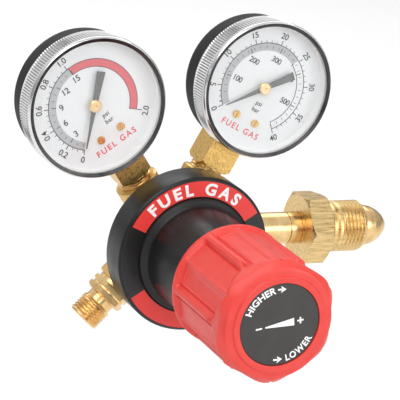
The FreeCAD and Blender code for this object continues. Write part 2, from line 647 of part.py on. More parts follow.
def bourdon_tube():
    start_angle = -25.0
    sweep = 279.0
    section = [(TUBE_R - 1.1, -2.5), (TUBE_R + 1.1, -2.5), (TUBE_R + 1.1, 2.5),
               (TUBE_R - 1.1, 2.5)]
    hollow = [(TUBE_R - 0.7, -2.0), (TUBE_R + 0.7, -2.0), (TUBE_R + 0.7, 2.0),
              (TUBE_R - 0.7, 2.0)]
    tube = turned(section, sweep).cut(turned(hollow, sweep - 3))
    # the turned piece sweeps from local X towards Z once it is laid along Y and mirrored
    tube = back(tube)
    tube = tube.mirror(Vector(0, 0, 0), Vector(0, 0, 1))
    tube.rotate(Vector(0, 0, 0), Vector(0, 1, 0), -start_angle)
    tube.translate(Vector(0, STEM_DEPTH, 0))
    tip = math.radians(start_angle + 1.5)
    tip_x = TUBE_R * math.cos(tip)
    tip_z = TUBE_R * math.sin(tip)
    end_x, end_z = link_end()
    lug = plate([(end_x - 0.6, end_z + 1.2), (tip_x, tip_z + 1.2), (tip_x, tip_z - 0.2),
                 (end_x - 0.6, end_z - 1.2)], 12.2, 0.8)
    return tube.fuse(lug)


def plate_corners():
    return [(-8, 10), (16.4, 10), (16.4, -3), (7, -17.5), (-7.5, -17.5)]


def movement_frame():
    pivot_x, pivot_z = sector_pivot()
    frame = plate(plate_corners(), PLATE_FRONT, PLATE_T)
    frame = frame.fuse(plate(plate_corners(), PLATE_BACK, PLATE_T))
    for x, z in ((-5.5, 7.0), (-5.5, -7.0)):
        frame = frame.fuse(rod_back(1.2, PLATE_FRONT, PLATE_BACK + PLATE_T, x, z))
    for x in (-DIAL_SCREW_X, DIAL_SCREW_X):
        frame = frame.fuse(rod_back(1.9, DIAL_FRONT + DIAL_T, PLATE_FRONT, x, DIAL_SCREW_Z))
        frame = frame.cut(rod_back(0.93, DIAL_FRONT, PLATE_FRONT + PLATE_T + 0.1, x, DIAL_SCREW_Z))
    frame = frame.cut(rod_back(ARBOR_R + 0.03, PLATE_FRONT - 1, PLATE_BACK + 3))
    return frame.cut(rod_back(0.77, PLATE_FRONT - 1, PLATE_BACK + 3, pivot_x, pivot_z))


def hairspring():
    """Flat two-centre spiral around the arbor."""
    strip = 0.16
    spiral = None
    for k in range(7):
        centre = 0.0 if k % 2 == 0 else 0.3
        radius = 1.7 + 0.3 * k
        half = ring(radius + strip / 2, radius - strip / 2, 7.8, 8.6)
        side = 0.0 if k % 2 == 0 else -10.0
        half = half.common(Part.makeBox(20, 10, 2, Vector(-10, side, 7)))
        half.translate(Vector(centre, 0, 0))
        spiral = half if spiral is None else spiral.fuse(half)
    return back(spiral)


def gauge_socket():
    """Threaded stem, wrench square and the block that holds the movement."""
    distance = GAUGE_DISTANCE
    thread_r = PORT_THREAD_R - THREAD_GAP
    half = STEM_SQUARE / 2
    square_top = 27.0
    stem = Part.makeCylinder(thread_r, STEM_SQUARE_END - PORT_THREAD_START - 0.5,
                             Vector(0, STEM_DEPTH, PORT_THREAD_START + 0.5 - distance))
    square = Part.makeBox(STEM_SQUARE, STEM_SQUARE, distance - STEM_SQUARE_END - square_top,
                          Vector(-half, STEM_DEPTH - half, STEM_SQUARE_END - distance))
    corner_r = half * math.sqrt(2) + 0.1
    crown = turned([(0, 0), (corner_r - 1.9, 0), (corner_r, 1.6), (corner_r, 30), (0, 30)])
    crown.translate(Vector(0, STEM_DEPTH, STEM_SQUARE_END - distance))
    square = square.common(crown)
    square = square.cut(rod_back(CASE_R + 0.02, -5, 40))
    square = square.cut(rod_back(BEZEL_R + 0.05, -5, BEZEL_BACK + 0.1))
    neck = Part.makeCylinder(6.9, 8, Vector(0, STEM_DEPTH, -30))
    bezel_room = rod_back(BEZEL_R + 0.05, -5, BEZEL_BACK + 0.1)
    neck = neck.cut(bezel_room.cut(rod_back(CASE_R, -6, BEZEL_BACK + 1)))
    block = Part.makeBox(12, PLATE_BACK - PLATE_FRONT - PLATE_T - 0.04, 13.5,
                         Vector(-6, PLATE_FRONT + PLATE_T + 0.02, -25.5))
    socket = stem.fuse(square).fuse(neck).fuse(block)
    for x in (-DIAL_SCREW_X, DIAL_SCREW_X):
        socket = socket.cut(rod_back(0.95, PLATE_FRONT, PLATE_FRONT + PLATE_T + 1.2, x,
                                     DIAL_SCREW_Z))
    bore = Part.makeCylinder(1.5, 34, Vector(0, STEM_DEPTH, PORT_THREAD_START - distance - 1))
    tube_room = rod_back(TUBE_R + 1.13, STEM_DEPTH - 2.53, STEM_DEPTH + 2.53)
    tube_room = tube_room.cut(rod_back(TUBE_R - 1.13, STEM_DEPTH - 3, STEM_DEPTH + 3))
    left_side = Part.makeBox(21, 20, 20, Vector(-26, 0, -30))
    socket = socket.cut(tube_room.common(left_side))
    return socket.cut(bore)


GAUGE_PIECES = {
    "case": gauge_case, "bezel": gauge_bezel, "lens": gauge_lens, "gasket": gauge_gasket,
    "dial": gauge_dial, "dial_screws": dial_screws, "pointer": gauge_pointer,
    "pointer_hub": pointer_hub, "pinion_arbor": pinion_arbor, "sector_gear": sector_gear,
    "link": movement_link, "hairspring": hairspring, "bourdon_tube": bourdon_tube,
    "movement_frame": movement_frame, "socket": gauge_socket}

REGULATOR_PIECES = {
    "regulator_body": regulator_body, "body_cap": body_cap, "nozzle": nozzle,
    "valve_poppet": valve_poppet, "valve_spring": valve_spring, "bonnet": bonnet,
    "bonnet_label": bonnet_label, "screw_bushing": screw_bushing, "diaphragm": diaphragm,
    "diaphragm_plate": diaphragm_plate, "spring_button": spring_button,
    "main_spring": main_spring, "adjusting_screw": adjusting_screw, "knob": knob,
    "knob_disc": knob_disc, "inlet_nipple": inlet_nipple, "inlet_filter": inlet_filter,
    "inlet_nut": inlet_nut, "outlet_fitting": outlet_fitting}

os.makedirs("parts", exist_ok=True)

for name, make in REGULATOR_PIECES.items():
    write(name, make())

for side, port_angle in (("high", HIGH_GAUGE_ANGLE), ("low", LOW_GAUGE_ANGLE)):
    for name, make in GAUGE_PIECES.items():
        local = make()
        centred = Placement(Vector(0, 0, GAUGE_DISTANCE), Rotation())
        local.Placement = centred.multiply(local.Placement)
        write(side + "_gauge_" + name, radial(local, port_angle, GAUGE_Y))
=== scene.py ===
import math

import bmesh
import bpy
from mathutils import Matrix, Vector


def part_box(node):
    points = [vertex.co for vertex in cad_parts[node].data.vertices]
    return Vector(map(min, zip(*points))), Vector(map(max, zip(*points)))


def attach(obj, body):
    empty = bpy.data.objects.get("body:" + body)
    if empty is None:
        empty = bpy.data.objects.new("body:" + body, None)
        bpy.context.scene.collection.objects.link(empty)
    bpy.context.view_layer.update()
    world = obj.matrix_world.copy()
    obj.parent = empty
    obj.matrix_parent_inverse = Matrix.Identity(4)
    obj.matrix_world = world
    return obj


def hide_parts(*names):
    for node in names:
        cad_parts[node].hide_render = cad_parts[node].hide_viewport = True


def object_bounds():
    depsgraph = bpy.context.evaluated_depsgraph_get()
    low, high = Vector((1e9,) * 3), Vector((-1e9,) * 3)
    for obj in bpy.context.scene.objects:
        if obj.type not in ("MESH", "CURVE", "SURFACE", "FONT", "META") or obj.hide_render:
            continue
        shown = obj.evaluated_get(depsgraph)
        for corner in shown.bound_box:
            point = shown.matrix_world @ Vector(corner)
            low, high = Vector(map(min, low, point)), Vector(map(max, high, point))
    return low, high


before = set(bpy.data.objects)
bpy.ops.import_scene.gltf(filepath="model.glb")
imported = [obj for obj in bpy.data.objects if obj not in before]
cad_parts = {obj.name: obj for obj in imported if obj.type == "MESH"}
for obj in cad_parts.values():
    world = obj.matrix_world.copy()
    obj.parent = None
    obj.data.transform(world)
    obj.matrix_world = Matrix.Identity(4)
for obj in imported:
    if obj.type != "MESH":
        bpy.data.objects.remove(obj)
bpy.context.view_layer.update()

# Pieces are made in millimetres about their own axis, which is local Y, and then placed.
# A turned piece's outline is a list of (radius, along), or (radius, along, fillet).
MM = 0.001
TURN = 2 * math.pi

# ---- camera ----------------------------------

CAMERA_PLACE = Vector((-0.4007, -0.6835, 0.2415))
CAMERA_RIGHT = Vector((0.9085, -0.4050, 0.1018))
CAMERA_FORWARD = Vector((0.4168, 0.8630, -0.2874))
CAMERA_LENS = 168.8

# ---- places, all taken from the frame --------

FRONT = Vector((0, -1, 0))
BEZEL_STANDS_OUT = 2.6


def middle(node):
    low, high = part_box(node)
    return (low + high) / 2


def placed(origin, x_axis, y_axis):
    """Matrix from a piece's own millimetres to the row frame."""
    z_axis = x_axis.cross(y_axis)
    turn = Matrix((x_axis, y_axis, z_axis)).transposed().to_4x4()
    return Matrix.Translation(origin) @ turn @ Matrix.Scale(MM, 4)


label_low, label_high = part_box("bonnet_label")
AXIS = Vector(((label_low.x + label_high.x) / 2, label_low.y, (label_low.z + label_high.z) / 2))
REGULATOR = placed(AXIS, Vector((1, 0, 0)), -FRONT)


def port_place(mount):
    """A port's own axes: Y along its bore from the regulator's axis, X towards the front."""
    away = Vector((mount.x, 0, mount.z)) - Vector((AXIS.x, 0, AXIS.z))
    away.normalize()
    return placed(Vector((AXIS.x, mount.y, AXIS.z)), FRONT, away)


INLET = port_place(middle("inlet_nipple"))
OUTLET = port_place(middle("outlet_fitting"))


def gauge_place(side):
    """A gauge's own axes: Y back from its lip plane, Z away from the regulator."""
    low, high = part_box(side + "_gauge_bezel")
    origin = Vector(((low.x + high.x) / 2, low.y + BEZEL_STANDS_OUT * MM, (low.z + high.z) / 2))
    up = Vector((origin.x - AXIS.x, 0, origin.z - AXIS.z)).normalized()
    return placed(origin, (-FRONT).cross(up), -FRONT)


GAUGES = {"low": gauge_place("low"), "high": gauge_place("high")}

# ---- meshes ----------------------------------

SMOOTH_ANGLE = math.radians(28)
# how many columns a turned piece has around its axis
KNOB_COLUMNS = 360
BONNET_COLUMNS = 192
CASE_COLUMNS = 160
DISC_COLUMNS = 128
FITTING_COLUMNS = 96
STEM_COLUMNS = 72
HUB_COLUMNS = 64


def add_piece(name, points, faces, place, finish, body, replaced=()):
    """A mesh piece that rides on a body. Its 'own' attribute keeps its unplaced millimetres."""
    mesh = bpy.data.meshes.new(name)
    mesh.from_pydata(points, [], faces)
    shape = bmesh.new()
    shape.from_mesh(mesh)
    bmesh.ops.recalc_face_normals(shape, faces=shape.faces)
    shape.to_mesh(mesh)
    shape.free()
    own = mesh.attributes.new("own", "FLOAT_VECTOR", "POINT")
    own.data.foreach_set("vector", [value for vertex in mesh.vertices for value in vertex.co])
    mesh.transform(place)
    mesh.shade_smooth()
    mesh.set_sharp_from_angle(angle=SMOOTH_ANGLE)
    mesh.materials.append(finish)
    piece = bpy.data.objects.new(name, mesh)
    bpy.context.scene.collection.objects.link(piece)
    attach(piece, body)
    if replaced:
        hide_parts(*replaced)
    return piece


def rounded(corners, steps=5):
    """The outline through the corners, with an arc at each corner that gives a fillet."""
    outline = []
    count = len(corners)
    for index, corner in enumerate(corners):
        here = Vector(corner[:2])
        if len(corner) == 2:
            outline.append((here.x, here.y))
            continue
        before = (Vector(corners[index - 1][:2]) - here).normalized()
        after = (Vector(corners[(index + 1) % count][:2]) - here).normalized()
        half = before.angle(after) / 2
        reach = corner[2] / math.tan(half)
        centre = here + (before + after).normalized() * (corner[2] / math.sin(half))
        first = here + before * reach - centre
        last = here + after * reach - centre
        bend = math.atan2(first.cross(last), first.dot(last))
        for step in range(steps + 1):
            spoke = Matrix.Rotation(bend * step / steps, 2) @ first
            outline.append((centre.x + spoke.x, centre.y + spoke.y))
    return outline


def divided(outline, longest):
    """The same outline with no run longer than the given length."""
    fine = [outline[0]]
    for (r0, y0), (r1, y1) in zip(outline, outline[1:]):
        parts = max(1, math.ceil(math.hypot(r1 - r0, y1 - y0) / longest))
        for part in range(1, parts + 1):
            share = part / parts
            fine.append((r0 + (r1 - r0) * share, y0 + (y1 - y0) * share))
    return fine


def lathe(outline, columns, shape=None, start=0.0):
    """Points and faces of an outline turned about Y, from axis to axis or closed on itself."""
    points, rings, faces = [], [], []
    for radius, along in outline:
        if radius == 0:
            rings.append([len(points)] * columns)
            points.append((0, along, 0))
            continue
        rings.append(range(len(points), len(points) + columns))
        for column in range(columns):
            angle = start + TURN * column / columns
            r, y = shape(angle, radius, along) if shape else (radius, along)
            points.append((r * math.cos(angle), y, r * math.sin(angle)))
    pairs = list(zip(rings, rings[1:]))
    if outline[0][0] != 0:
        pairs.append((rings[-1], rings[0]))
    for ring, other in pairs:
        for column in range(columns):
            after = (column + 1) % columns
            corners = (ring[column], ring[after], other[after], other[column])
            face = tuple(dict.fromkeys(corners))
            if len(face) > 2:
                faces.append(face)
    return points, faces


def six_sided(across_flats, first_corner):
    """Shape that trims a turned outline to a hexagon."""
    def shape(angle, radius, along):
        turn = (angle - first_corner) % (TURN / 6) - TURN / 12
        return min(radius, across_flats / 2 / math.cos(turn)), along
    return shape


THREAD_FLANK = 1.3
THREAD_CREST = 0.15


def thread_depth(angle, along, start, end, pitch, hand=1):
    """Share of full depth of a helical thread's groove at a point, 0 off its ends."""
    if not start < along < end:
        return 0.0
    phase = (along / pitch - hand * angle / TURN) % 1.0
    groove = min(1.0, max(0.0, THREAD_FLANK * abs(2 * phase - 1) - THREAD_CREST))
    run_out = min(1.0, (along - start) / pitch, (end - along) / pitch)
    return groove * run_out


# ---- materials -------------------------------

# the range that a noise value mostly stays in
NOISE_LOW = 0.3
NOISE_HIGH = 0.7


def map_range(tree, value, low, high, start=0.0, end=1.0):
    """An output that goes from low to high as the value goes from start to end."""
    node = tree.nodes.new("ShaderNodeMapRange")
    for socket, number in (("From Min", start), ("From Max", end), ("To Min", low),
                           ("To Max", high)):
        node.inputs[socket].default_value = number
    tree.links.new(value, node.inputs["Value"])
    return node.outputs["Result"]


class Finish:
    """A Principled material and the few nodes that its patterns need."""

    def __init__(self, name, colour, roughness, metallic=0.0, own=True, **sockets):
        self.material = bpy.data.materials.new(name)
        self.material.use_nodes = True
        self.tree = self.material.node_tree
        self.shader = self.tree.nodes["Principled BSDF"]
        self.shader.inputs["Base Color"].default_value = (*colour, 1)
        self.shader.inputs["Roughness"].default_value = roughness
        self.shader.inputs["Metallic"].default_value = metallic
        for socket, value in sockets.items():
            self.shader.inputs[socket.replace("_", " ")].default_value = value
        if own:
            self.place = self.add("ShaderNodeAttribute", attribute_name="own").outputs["Vector"]
        else:
            coordinates = self.add("ShaderNodeTexCoord").outputs["Object"]
            self.place = self.scaled(coordinates, (1 / MM, 1 / MM, 1 / MM))
        self.normal = None

    def add(self, kind, **settings):
        node = self.tree.nodes.new(kind)
        for key, value in settings.items():
            setattr(node, key, value)
        return node

    def link(self, output, socket):
        self.tree.links.new(output, socket)

    def scaled(self, vector, scale):
        node = self.add("ShaderNodeVectorMath", operation="MULTIPLY")
        self.link(vector, node.inputs[0])
        node.inputs[1].default_value = scale
        return node.outputs[0]

    def noise(self, grain, detail=3.0):
        """Noise with so many cells per millimetre: one number, or one for each axis."""
        cells = grain if isinstance(grain, tuple) else (grain, grain, grain)
        node = self.add("ShaderNodeTexNoise")
        node.inputs["Scale"].default_value = 1.0
        node.inputs["Detail"].default_value = detail
        self.link(self.scaled(self.place, cells), node.inputs["Vector"])
        return node.outputs["Fac"]

    def colours(self, value, first, last, start=NOISE_LOW, end=NOISE_HIGH):
        """Goes from the first colour to the last as a noise value goes from start to end."""
        node = self.add("ShaderNodeValToRGB")
        stops = ((start, first), (end, last))
        for element, (position, colour) in zip(node.color_ramp.elements, stops):
            element.position = position
            element.color = (*colour, 1)
        self.link(value, node.inputs["Fac"])
        self.link(node.outputs["Color"], self.shader.inputs["Base Color"])

    def rough(self, value, low, high):
        """Roughness from low to high with a noise value."""
        wanted = map_range(self.tree, value, low, high, NOISE_LOW, NOISE_HIGH)
        self.link(wanted, self.shader.inputs["Roughness"])

    def bump(self, value, depth):
        """Adds relief of about the given depth in millimetres."""
        node = self.add("ShaderNodeBump")
        node.inputs["Distance"].default_value = depth * MM
        self.link(value, node.inputs["Height"])
        if self.normal:
            self.link(self.normal, node.inputs["Normal"])
        self.normal = node.outputs["Normal"]
        self.link(self.normal, self.shader.inputs["Normal"])


def brass(name, dark, light, grain, roughness=(0.2, 0.34), own=True, depth=0.02, waves=0.03,
          streaked=False):
    """Bare brass with fine tool marks: grain is their cells per millimetre along each axis."""
    finish = Finish(name, light, roughness[0], metallic=1.0, own=own)
    marks = finish.noise(grain, detail=3.0)
    cloud = finish.noise(0.25, detail=4.0)
    finish.colours(marks if streaked else cloud, dark, light, end=0.62)
    finish.rough(marks, *roughness)
    finish.bump(marks, depth)
    finish.bump(finish.noise(0.5), waves)
    return finish.material


BRASS_LIGHT = (0.88, 0.63, 0.31)
BRASS_DARK = (0.70, 0.45, 0.19)
BRASS_DEEP = (0.50, 0.30, 0.10)
BRASS_WARM = (0.74, 0.48, 0.17)
BRASS_DRAWN = (0.56, 0.41, 0.17)
BRASS_CASTING = (0.58, 0.37, 0.13)
BRASS_PALE = (0.92, 0.72, 0.46)
BRASS_GOLD = (0.86, 0.56, 0.18)


def enamel(name, colour, roughness, gloss):
    """Sprayed enamel: fine orange peel and faint dust."""
    finish = Finish(name, colour, roughness[0], Specular_IOR_Level=gloss)
    finish.rough(finish.noise(0.12), *roughness)
    lighter = tuple(value * 1.5 + 0.004 for value in colour)
    finish.colours(finish.noise(1.5, detail=5.0), colour, lighter, 0.35, 0.75)
    finish.bump(finish.noise(1.1, detail=2.0), 0.012)
    return finish.material


def moulded(name, colour, lighter, roughness, texture=0.012, cells=4.0):
    """Moulded plastic: fine spark texture with broad, slow changes of gloss."""
    finish = Finish(name, colour, roughness[0])
    finish.rough(finish.noise(0.08), *roughness)
    finish.colours(finish.noise(0.15), colour, lighter)
    finish.bump(finish.noise(cells, detail=2.0), texture)
    finish.bump(finish.noise(0.12, detail=1.0), 0.05)
    return finish.material


def ink(name, colour, lighter, own=True):
    """Screen-printed ink, slightly uneven."""
    finish = Finish(name, colour, 0.5, own=own)
    finish.colours(finish.noise(2.0), colour, lighter)
    finish.rough(finish.noise(1.0), 0.42, 0.58)
    return finish.material


def metal(name, colour, lighter, grain, roughness, own=True):
    """Plated or bare grey metal with faint marks."""
    finish = Finish(name, colour, roughness[0], metallic=1.0, own=own)
    marks = finish.noise(grain, detail=2.0)
    finish.colours(marks, colour, lighter)
    finish.rough(finish.noise(0.2), *roughness)
    finish.bump(marks, 0.006)
    return finish.material


def rubber(name, colour):
    """Matt sheet rubber, slightly grainy."""
    finish = Finish(name, colour, 0.7, own=False)
    finish.bump(finish.noise(3.0), 0.02)
    finish.rough(finish.noise(1.0), 0.6, 0.75)
    return finish.material


WINDOW_TINT = (0.985, 0.99, 0.99)
SHINE_STRAIGHT = 0.012
SHINE_SLANTED = 0.26
HAZE_LEAST = 0.03
HAZE_MOST = 0.12


def clear_glass(name):
    """Thin clear window: the view passes straight through, with a reflection on top."""
    material = bpy.data.materials.new(name)
    material.use_nodes = True
    tree = material.node_tree
    add, link = tree.nodes.new, tree.links.new
    tree.nodes.remove(tree.nodes["Principled BSDF"])
    through = add("ShaderNodeBsdfTransparent")
    through.inputs["Color"].default_value = (*WINDOW_TINT, 1)
    shine = add("ShaderNodeBsdfGlossy")
    shine.inputs["Color"].default_value = (1, 1, 1, 1)
    slant = add("ShaderNodeLayerWeight")
    slant.inputs["Blend"].default_value = 0.25
    share = map_range(tree, slant.outputs["Facing"], SHINE_STRAIGHT, SHINE_SLANTED)
    place = add("ShaderNodeAttribute")
    place.attribute_name = "own"
    smear = add("ShaderNodeTexNoise")
    smear.inputs["Scale"].default_value = 0.1
    link(place.outputs["Vector"], smear.inputs["Vector"])
    haze = map_range(tree, smear.outputs["Fac"], HAZE_LEAST, HAZE_MOST)
    link(haze, shine.inputs["Roughness"])
    mix = add("ShaderNodeMixShader")
    link(share, mix.inputs["Fac"])
    link(through.outputs["BSDF"], mix.inputs[1])
    link(shine.outputs["BSDF"], mix.inputs[2])
    link(mix.outputs["Shader"], tree.nodes["Material Output"].inputs["Surface"])
    return material


RED = (0.70, 0.042, 0.032)
RED_LIGHT = (0.74, 0.054, 0.042)
BRASS_TURNED = brass("brass_turned", BRASS_DARK, BRASS_LIGHT, (0.15, 5.0, 0.15), (0.16, 0.3),
                     depth=0.006, waves=0.012)
BRASS_NUT = brass("brass_nut", BRASS_DRAWN, BRASS_LIGHT, (1.3, 0.12, 1.3), (0.24, 0.42),
                  depth=0.06, streaked=True)
BRASS_STEM = brass("brass_stem", BRASS_DEEP, BRASS_GOLD, (1.6, 1.6, 0.9), (0.26, 0.4), False,
                   streaked=True)
BRASS_CAST = brass("brass_body", BRASS_CASTING, BRASS_WARM, (0.8, 4.0, 0.8), (0.3, 0.45), False)
BRASS_HUB = brass("brass_hub", BRASS_LIGHT, BRASS_PALE, (0.6, 6.0, 0.6), (0.3, 0.45))
BRASS_INSIDE = brass("brass_inside", BRASS_DARK, BRASS_WARM, 2.0, own=False)
BLACK_ENAMEL = enamel("black_enamel", (0.006, 0.006, 0.006), (0.28, 0.42), 0.32)
CASE_ENAMEL = enamel("case_enamel", (0.016, 0.014, 0.014), (0.5, 0.6), 0.16)
RED_PLASTIC = moulded("red_plastic", RED, RED_LIGHT, (0.34, 0.46))
BLACK_PLASTIC = moulded("black_plastic", (0.034, 0.031, 0.030), (0.042, 0.038, 0.037),
                        (0.42, 0.55), 0.02, 3.0)
CHROME = metal("chrome", (0.72, 0.72, 0.73), (0.80, 0.80, 0.81), (0.3, 3.0, 0.3), (0.08, 0.18))
# painted shade: near-black chrome on the bezel's inner lip, standing in for the shade and dark
# reflections there
CHROME_LIP_PAINTED_SHADE = metal("chrome_dark", (0.05, 0.05, 0.05), (0.09, 0.085, 0.085), (0.3, 3.0, 0.3),
                    (0.25, 0.4))
# painted shade: darker grey chrome for the knurls' valleys, in place of the shade between the
# knurls
KNURL_PAINTED_SHADE = metal("chrome_shade", (0.46, 0.46, 0.46), (0.56, 0.56, 0.56), (0.3, 3.0, 0.3),
                     (0.2, 0.3))
STEEL = metal("steel", (0.50, 0.50, 0.50), (0.62, 0.61, 0.60), 1.5, (0.25, 0.4), own=False)
GLASS = clear_glass("lens_glass")
DIAL_WHITE = ink("dial_white", (0.79, 0.80, 0.81), (0.83, 0.84, 0.85))
INK_BLACK = ink("ink_black", (0.025, 0.025, 0.025), (0.05, 0.05, 0.05))
INK_GREY = ink("ink_grey", (0.44, 0.45, 0.46), (0.50, 0.51, 0.52))
INK_RED = ink("ink_red", (0.76, 0.08, 0.09), (0.80, 0.12, 0.13))
BAND_RED = ink("band_red", (0.70, 0.14, 0.16), (0.74, 0.17, 0.19))
INK_WHITE = ink("ink_white", (0.88, 0.88, 0.87), (0.93, 0.93, 0.92))
LABEL_RED = ink("label_red", (0.78, 0.035, 0.030), (0.82, 0.05, 0.042))
LABEL_BLACK = moulded("label_black", (0.007, 0.007, 0.007), (0.010, 0.010, 0.010),
                      (0.3, 0.4), 0.006, 5.0)
POINTER_GREY = ink("pointer_grey", (0.13, 0.135, 0.13), (0.17, 0.175, 0.17))
RUBBER = rubber("rubber", (0.02, 0.02, 0.02))
WHITE_RUBBER = ink("white_rubber", (0.88, 0.88, 0.87), (0.92, 0.92, 0.91), own=False)

# ---- knob ------------------------------------

KNOB_REAR = -32.0
KNOB_FRONT = -79.2
KNOB_REAR_R = 22.7
KNOB_R = 25.0
KNOB_BORE_R = 21.8
KNOB_WEB = -67.0
KNOB_HUB_R = 10.0
KNOB_HUB_END = -48.5
KNOB_SCREW_R = 6.36
KNOB_SCREW_TIP = -71.95
DISC_R = 16.5
DISC_FRONT = -78.6
DISC_BACK = -77.4
SEAT_R = DISC_R + 0.05
LIP_R = 18.9
SHOULDER_R = KNOB_R - 3.0
GRIP_START = KNOB_FRONT + 8.0
FINE_STEP = 0.45
COARSE_STEP = 1.5

# the grip: six ridges with a flat on each side, and a rib with two grooves midway between them
SIDE = math.radians(60)
RIDGE_ANGLE = math.radians(31.0)
SHAPED_BEYOND_R = KNOB_BORE_R + 0.4
GRIP_R = KNOB_R - 0.1
PANEL_START = -36.5
PANEL_EASE = 0.9
PANEL_END_AT_RIB = -67.5
PANEL_END_AT_RIDGE = -75.0
PANEL_SINK = 0.9
RIB_HALF = math.radians(3.6)
RIB_TOP_HALF = RIB_HALF * 0.8
RIB_FOOT_HALF = RIB_HALF * 1.3
GROOVE_DEPTH = 0.8
GROOVE_PLACE = RIB_HALF * 1.7
GROOVE_HALF = RIB_HALF * 0.5
CREST_RISE = 0.3
CREST_HALF = math.radians(2.2)
CREST_TOP_HALF = CREST_HALF * 0.4
SCOOP_DEPTH = 0.55
SCOOP_START = -38.5
SCOOP_ROUND = 4.0
SCOOP_MIDDLE = 0.45
SCOOP_HALF = 0.3
SCOOP_EDGE = 0.3
FLARE_R = 24.25
LOBE_RISE = 0.95
FLARE_REACH = 1.3
SHORT_BLEND = 0.9
LONG_BLEND = 3.6


def smooth_step(value, low, high):
    """0 at or below low, 1 at or above high, and a smooth rise between."""
    share = min(1.0, max(0.0, (value - low) / (high - low)))
    return share * share * (3 - 2 * share)


def ridge_turn(angle):
    """Angle from the nearest ridge, which is midway between two ribs: at most 30 degrees."""
    return (angle - RIDGE_ANGLE + SIDE / 2) % SIDE - SIDE / 2


def panel_radius(angle):
    """The grip's section."""
    turn = abs(ridge_turn(angle))
    flat = KNOB_R * math.cos(SIDE / 4) / math.cos(turn - SIDE / 4)
    from_rib = SIDE / 2 - turn
    sink = PANEL_SINK * smooth_step(from_rib, RIB_TOP_HALF, RIB_FOOT_HALF)
    groove = GROOVE_DEPTH * max(0.0, 1 - abs(from_rib - GROOVE_PLACE) / GROOVE_HALF)
    beside_crest = CREST_RISE * smooth_step(turn, CREST_TOP_HALF, CREST_HALF)
    return flat - sink - groove - beside_crest


def flare_radius(angle):
    """The front ring's section: six lobes, each at a ridge."""
    return FLARE_R + LOBE_RISE * math.cos(6 * (angle - RIDGE_ANGLE))


def scoop_depth(across, along):
    """A shallow finger scoop in the flat on one side of each ridge, rounded at its rear end."""
    offset = abs(across - SCOOP_MIDDLE) / SCOOP_HALF
    if offset >= 1:
        return 0.0
    start = SCOOP_START - SCOOP_ROUND * (1 - math.sqrt(1 - offset ** 2))
    edge = smooth_step(1 - offset, 0.0, SCOOP_EDGE)
    return SCOOP_DEPTH * smooth_step(start - along, 0.0, 1.0) * edge


def knob_shape(angle, radius, along):
    """Scales the knob's outside to its grip and its flare; the bore and the front stay round."""
    if radius < SHAPED_BEYOND_R:
        return radius, along
    across = ridge_turn(angle) / (SIDE / 2)
    panel_end = PANEL_END_AT_RIDGE + (PANEL_END_AT_RIB - PANEL_END_AT_RIDGE) * abs(across)
    flare_full = -panel_end + FLARE_REACH
    blend = SHORT_BLEND if across > 0 else LONG_BLEND
    flare = smooth_step(-along, flare_full - blend, flare_full)
    panel = smooth_step(-along, -PANEL_START - PANEL_EASE, -PANEL_START + PANEL_EASE)
    grip = GRIP_R + (panel_radius(angle) - GRIP_R) * panel - scoop_depth(across, along)
    wanted = grip + (flare_radius(angle) - grip) * flare
    return radius * wanted / KNOB_R, along


def knob_outline():
    """From the seat's middle out over the front, back along the grip and into the bore."""
    front = rounded([
        (SEAT_R, DISC_BACK), (SEAT_R, KNOB_FRONT + 0.25),
        (DISC_R + 0.4, KNOB_FRONT + 0.15, 0.15), (LIP_R, KNOB_FRONT + 0.05, 0.25),
        (LIP_R + 0.35, KNOB_FRONT + 0.85, 0.3), (SHOULDER_R, KNOB_FRONT + 1.1, 3.0),
        (KNOB_R, KNOB_FRONT + 4.2, 2.5), (KNOB_R, GRIP_START)])
    grip = [(KNOB_R, GRIP_START), (KNOB_R, KNOB_REAR - 3.0)]
    rear = rounded([
        (KNOB_R, KNOB_REAR - 4.0), (KNOB_R - 0.3, KNOB_REAR - 1.6, 1.6),
        (KNOB_REAR_R, KNOB_REAR, 0.4), (KNOB_BORE_R + 0.2, KNOB_REAR, 0.15),
        (KNOB_BORE_R, KNOB_REAR - 0.4), (KNOB_BORE_R, KNOB_WEB, 1.5),
        (KNOB_HUB_R, KNOB_WEB, 1.0), (KNOB_HUB_R, KNOB_HUB_END, 0.5),
        (KNOB_SCREW_R, KNOB_HUB_END, 0.3), (KNOB_SCREW_R, KNOB_SCREW_TIP)])
    outside = divided(front, FINE_STEP)[:-1] + divided(grip, FINE_STEP)
    inside = divided(rear[1:], COARSE_STEP)
    return [(0, DISC_BACK), *outside, *inside, (0, KNOB_SCREW_TIP)]


points, faces = lathe(knob_outline(), KNOB_COLUMNS, knob_shape, RIDGE_ANGLE)
add_piece("knob_grip", points, faces, REGULATOR, RED_PLASTIC, "knob", ["knob"])

DISC_SEAT = DISC_BACK + 0.02
disc_outline = rounded([
    (0, DISC_FRONT), (DISC_R - 0.2, DISC_FRONT, 0.25), (DISC_R, DISC_FRONT + 0.5),
    (DISC_R, DISC_SEAT), (0, DISC_SEAT)])
points, faces = lathe(disc_outline, DISC_COLUMNS)
add_piece("knob_face", points, faces, REGULATOR, BLACK_PLASTIC, "knob",
          ["knob_disc"])

# ---- printed marks ---------------------------

INK_T = 0.05
CAPITAL_SHARE = 0.70


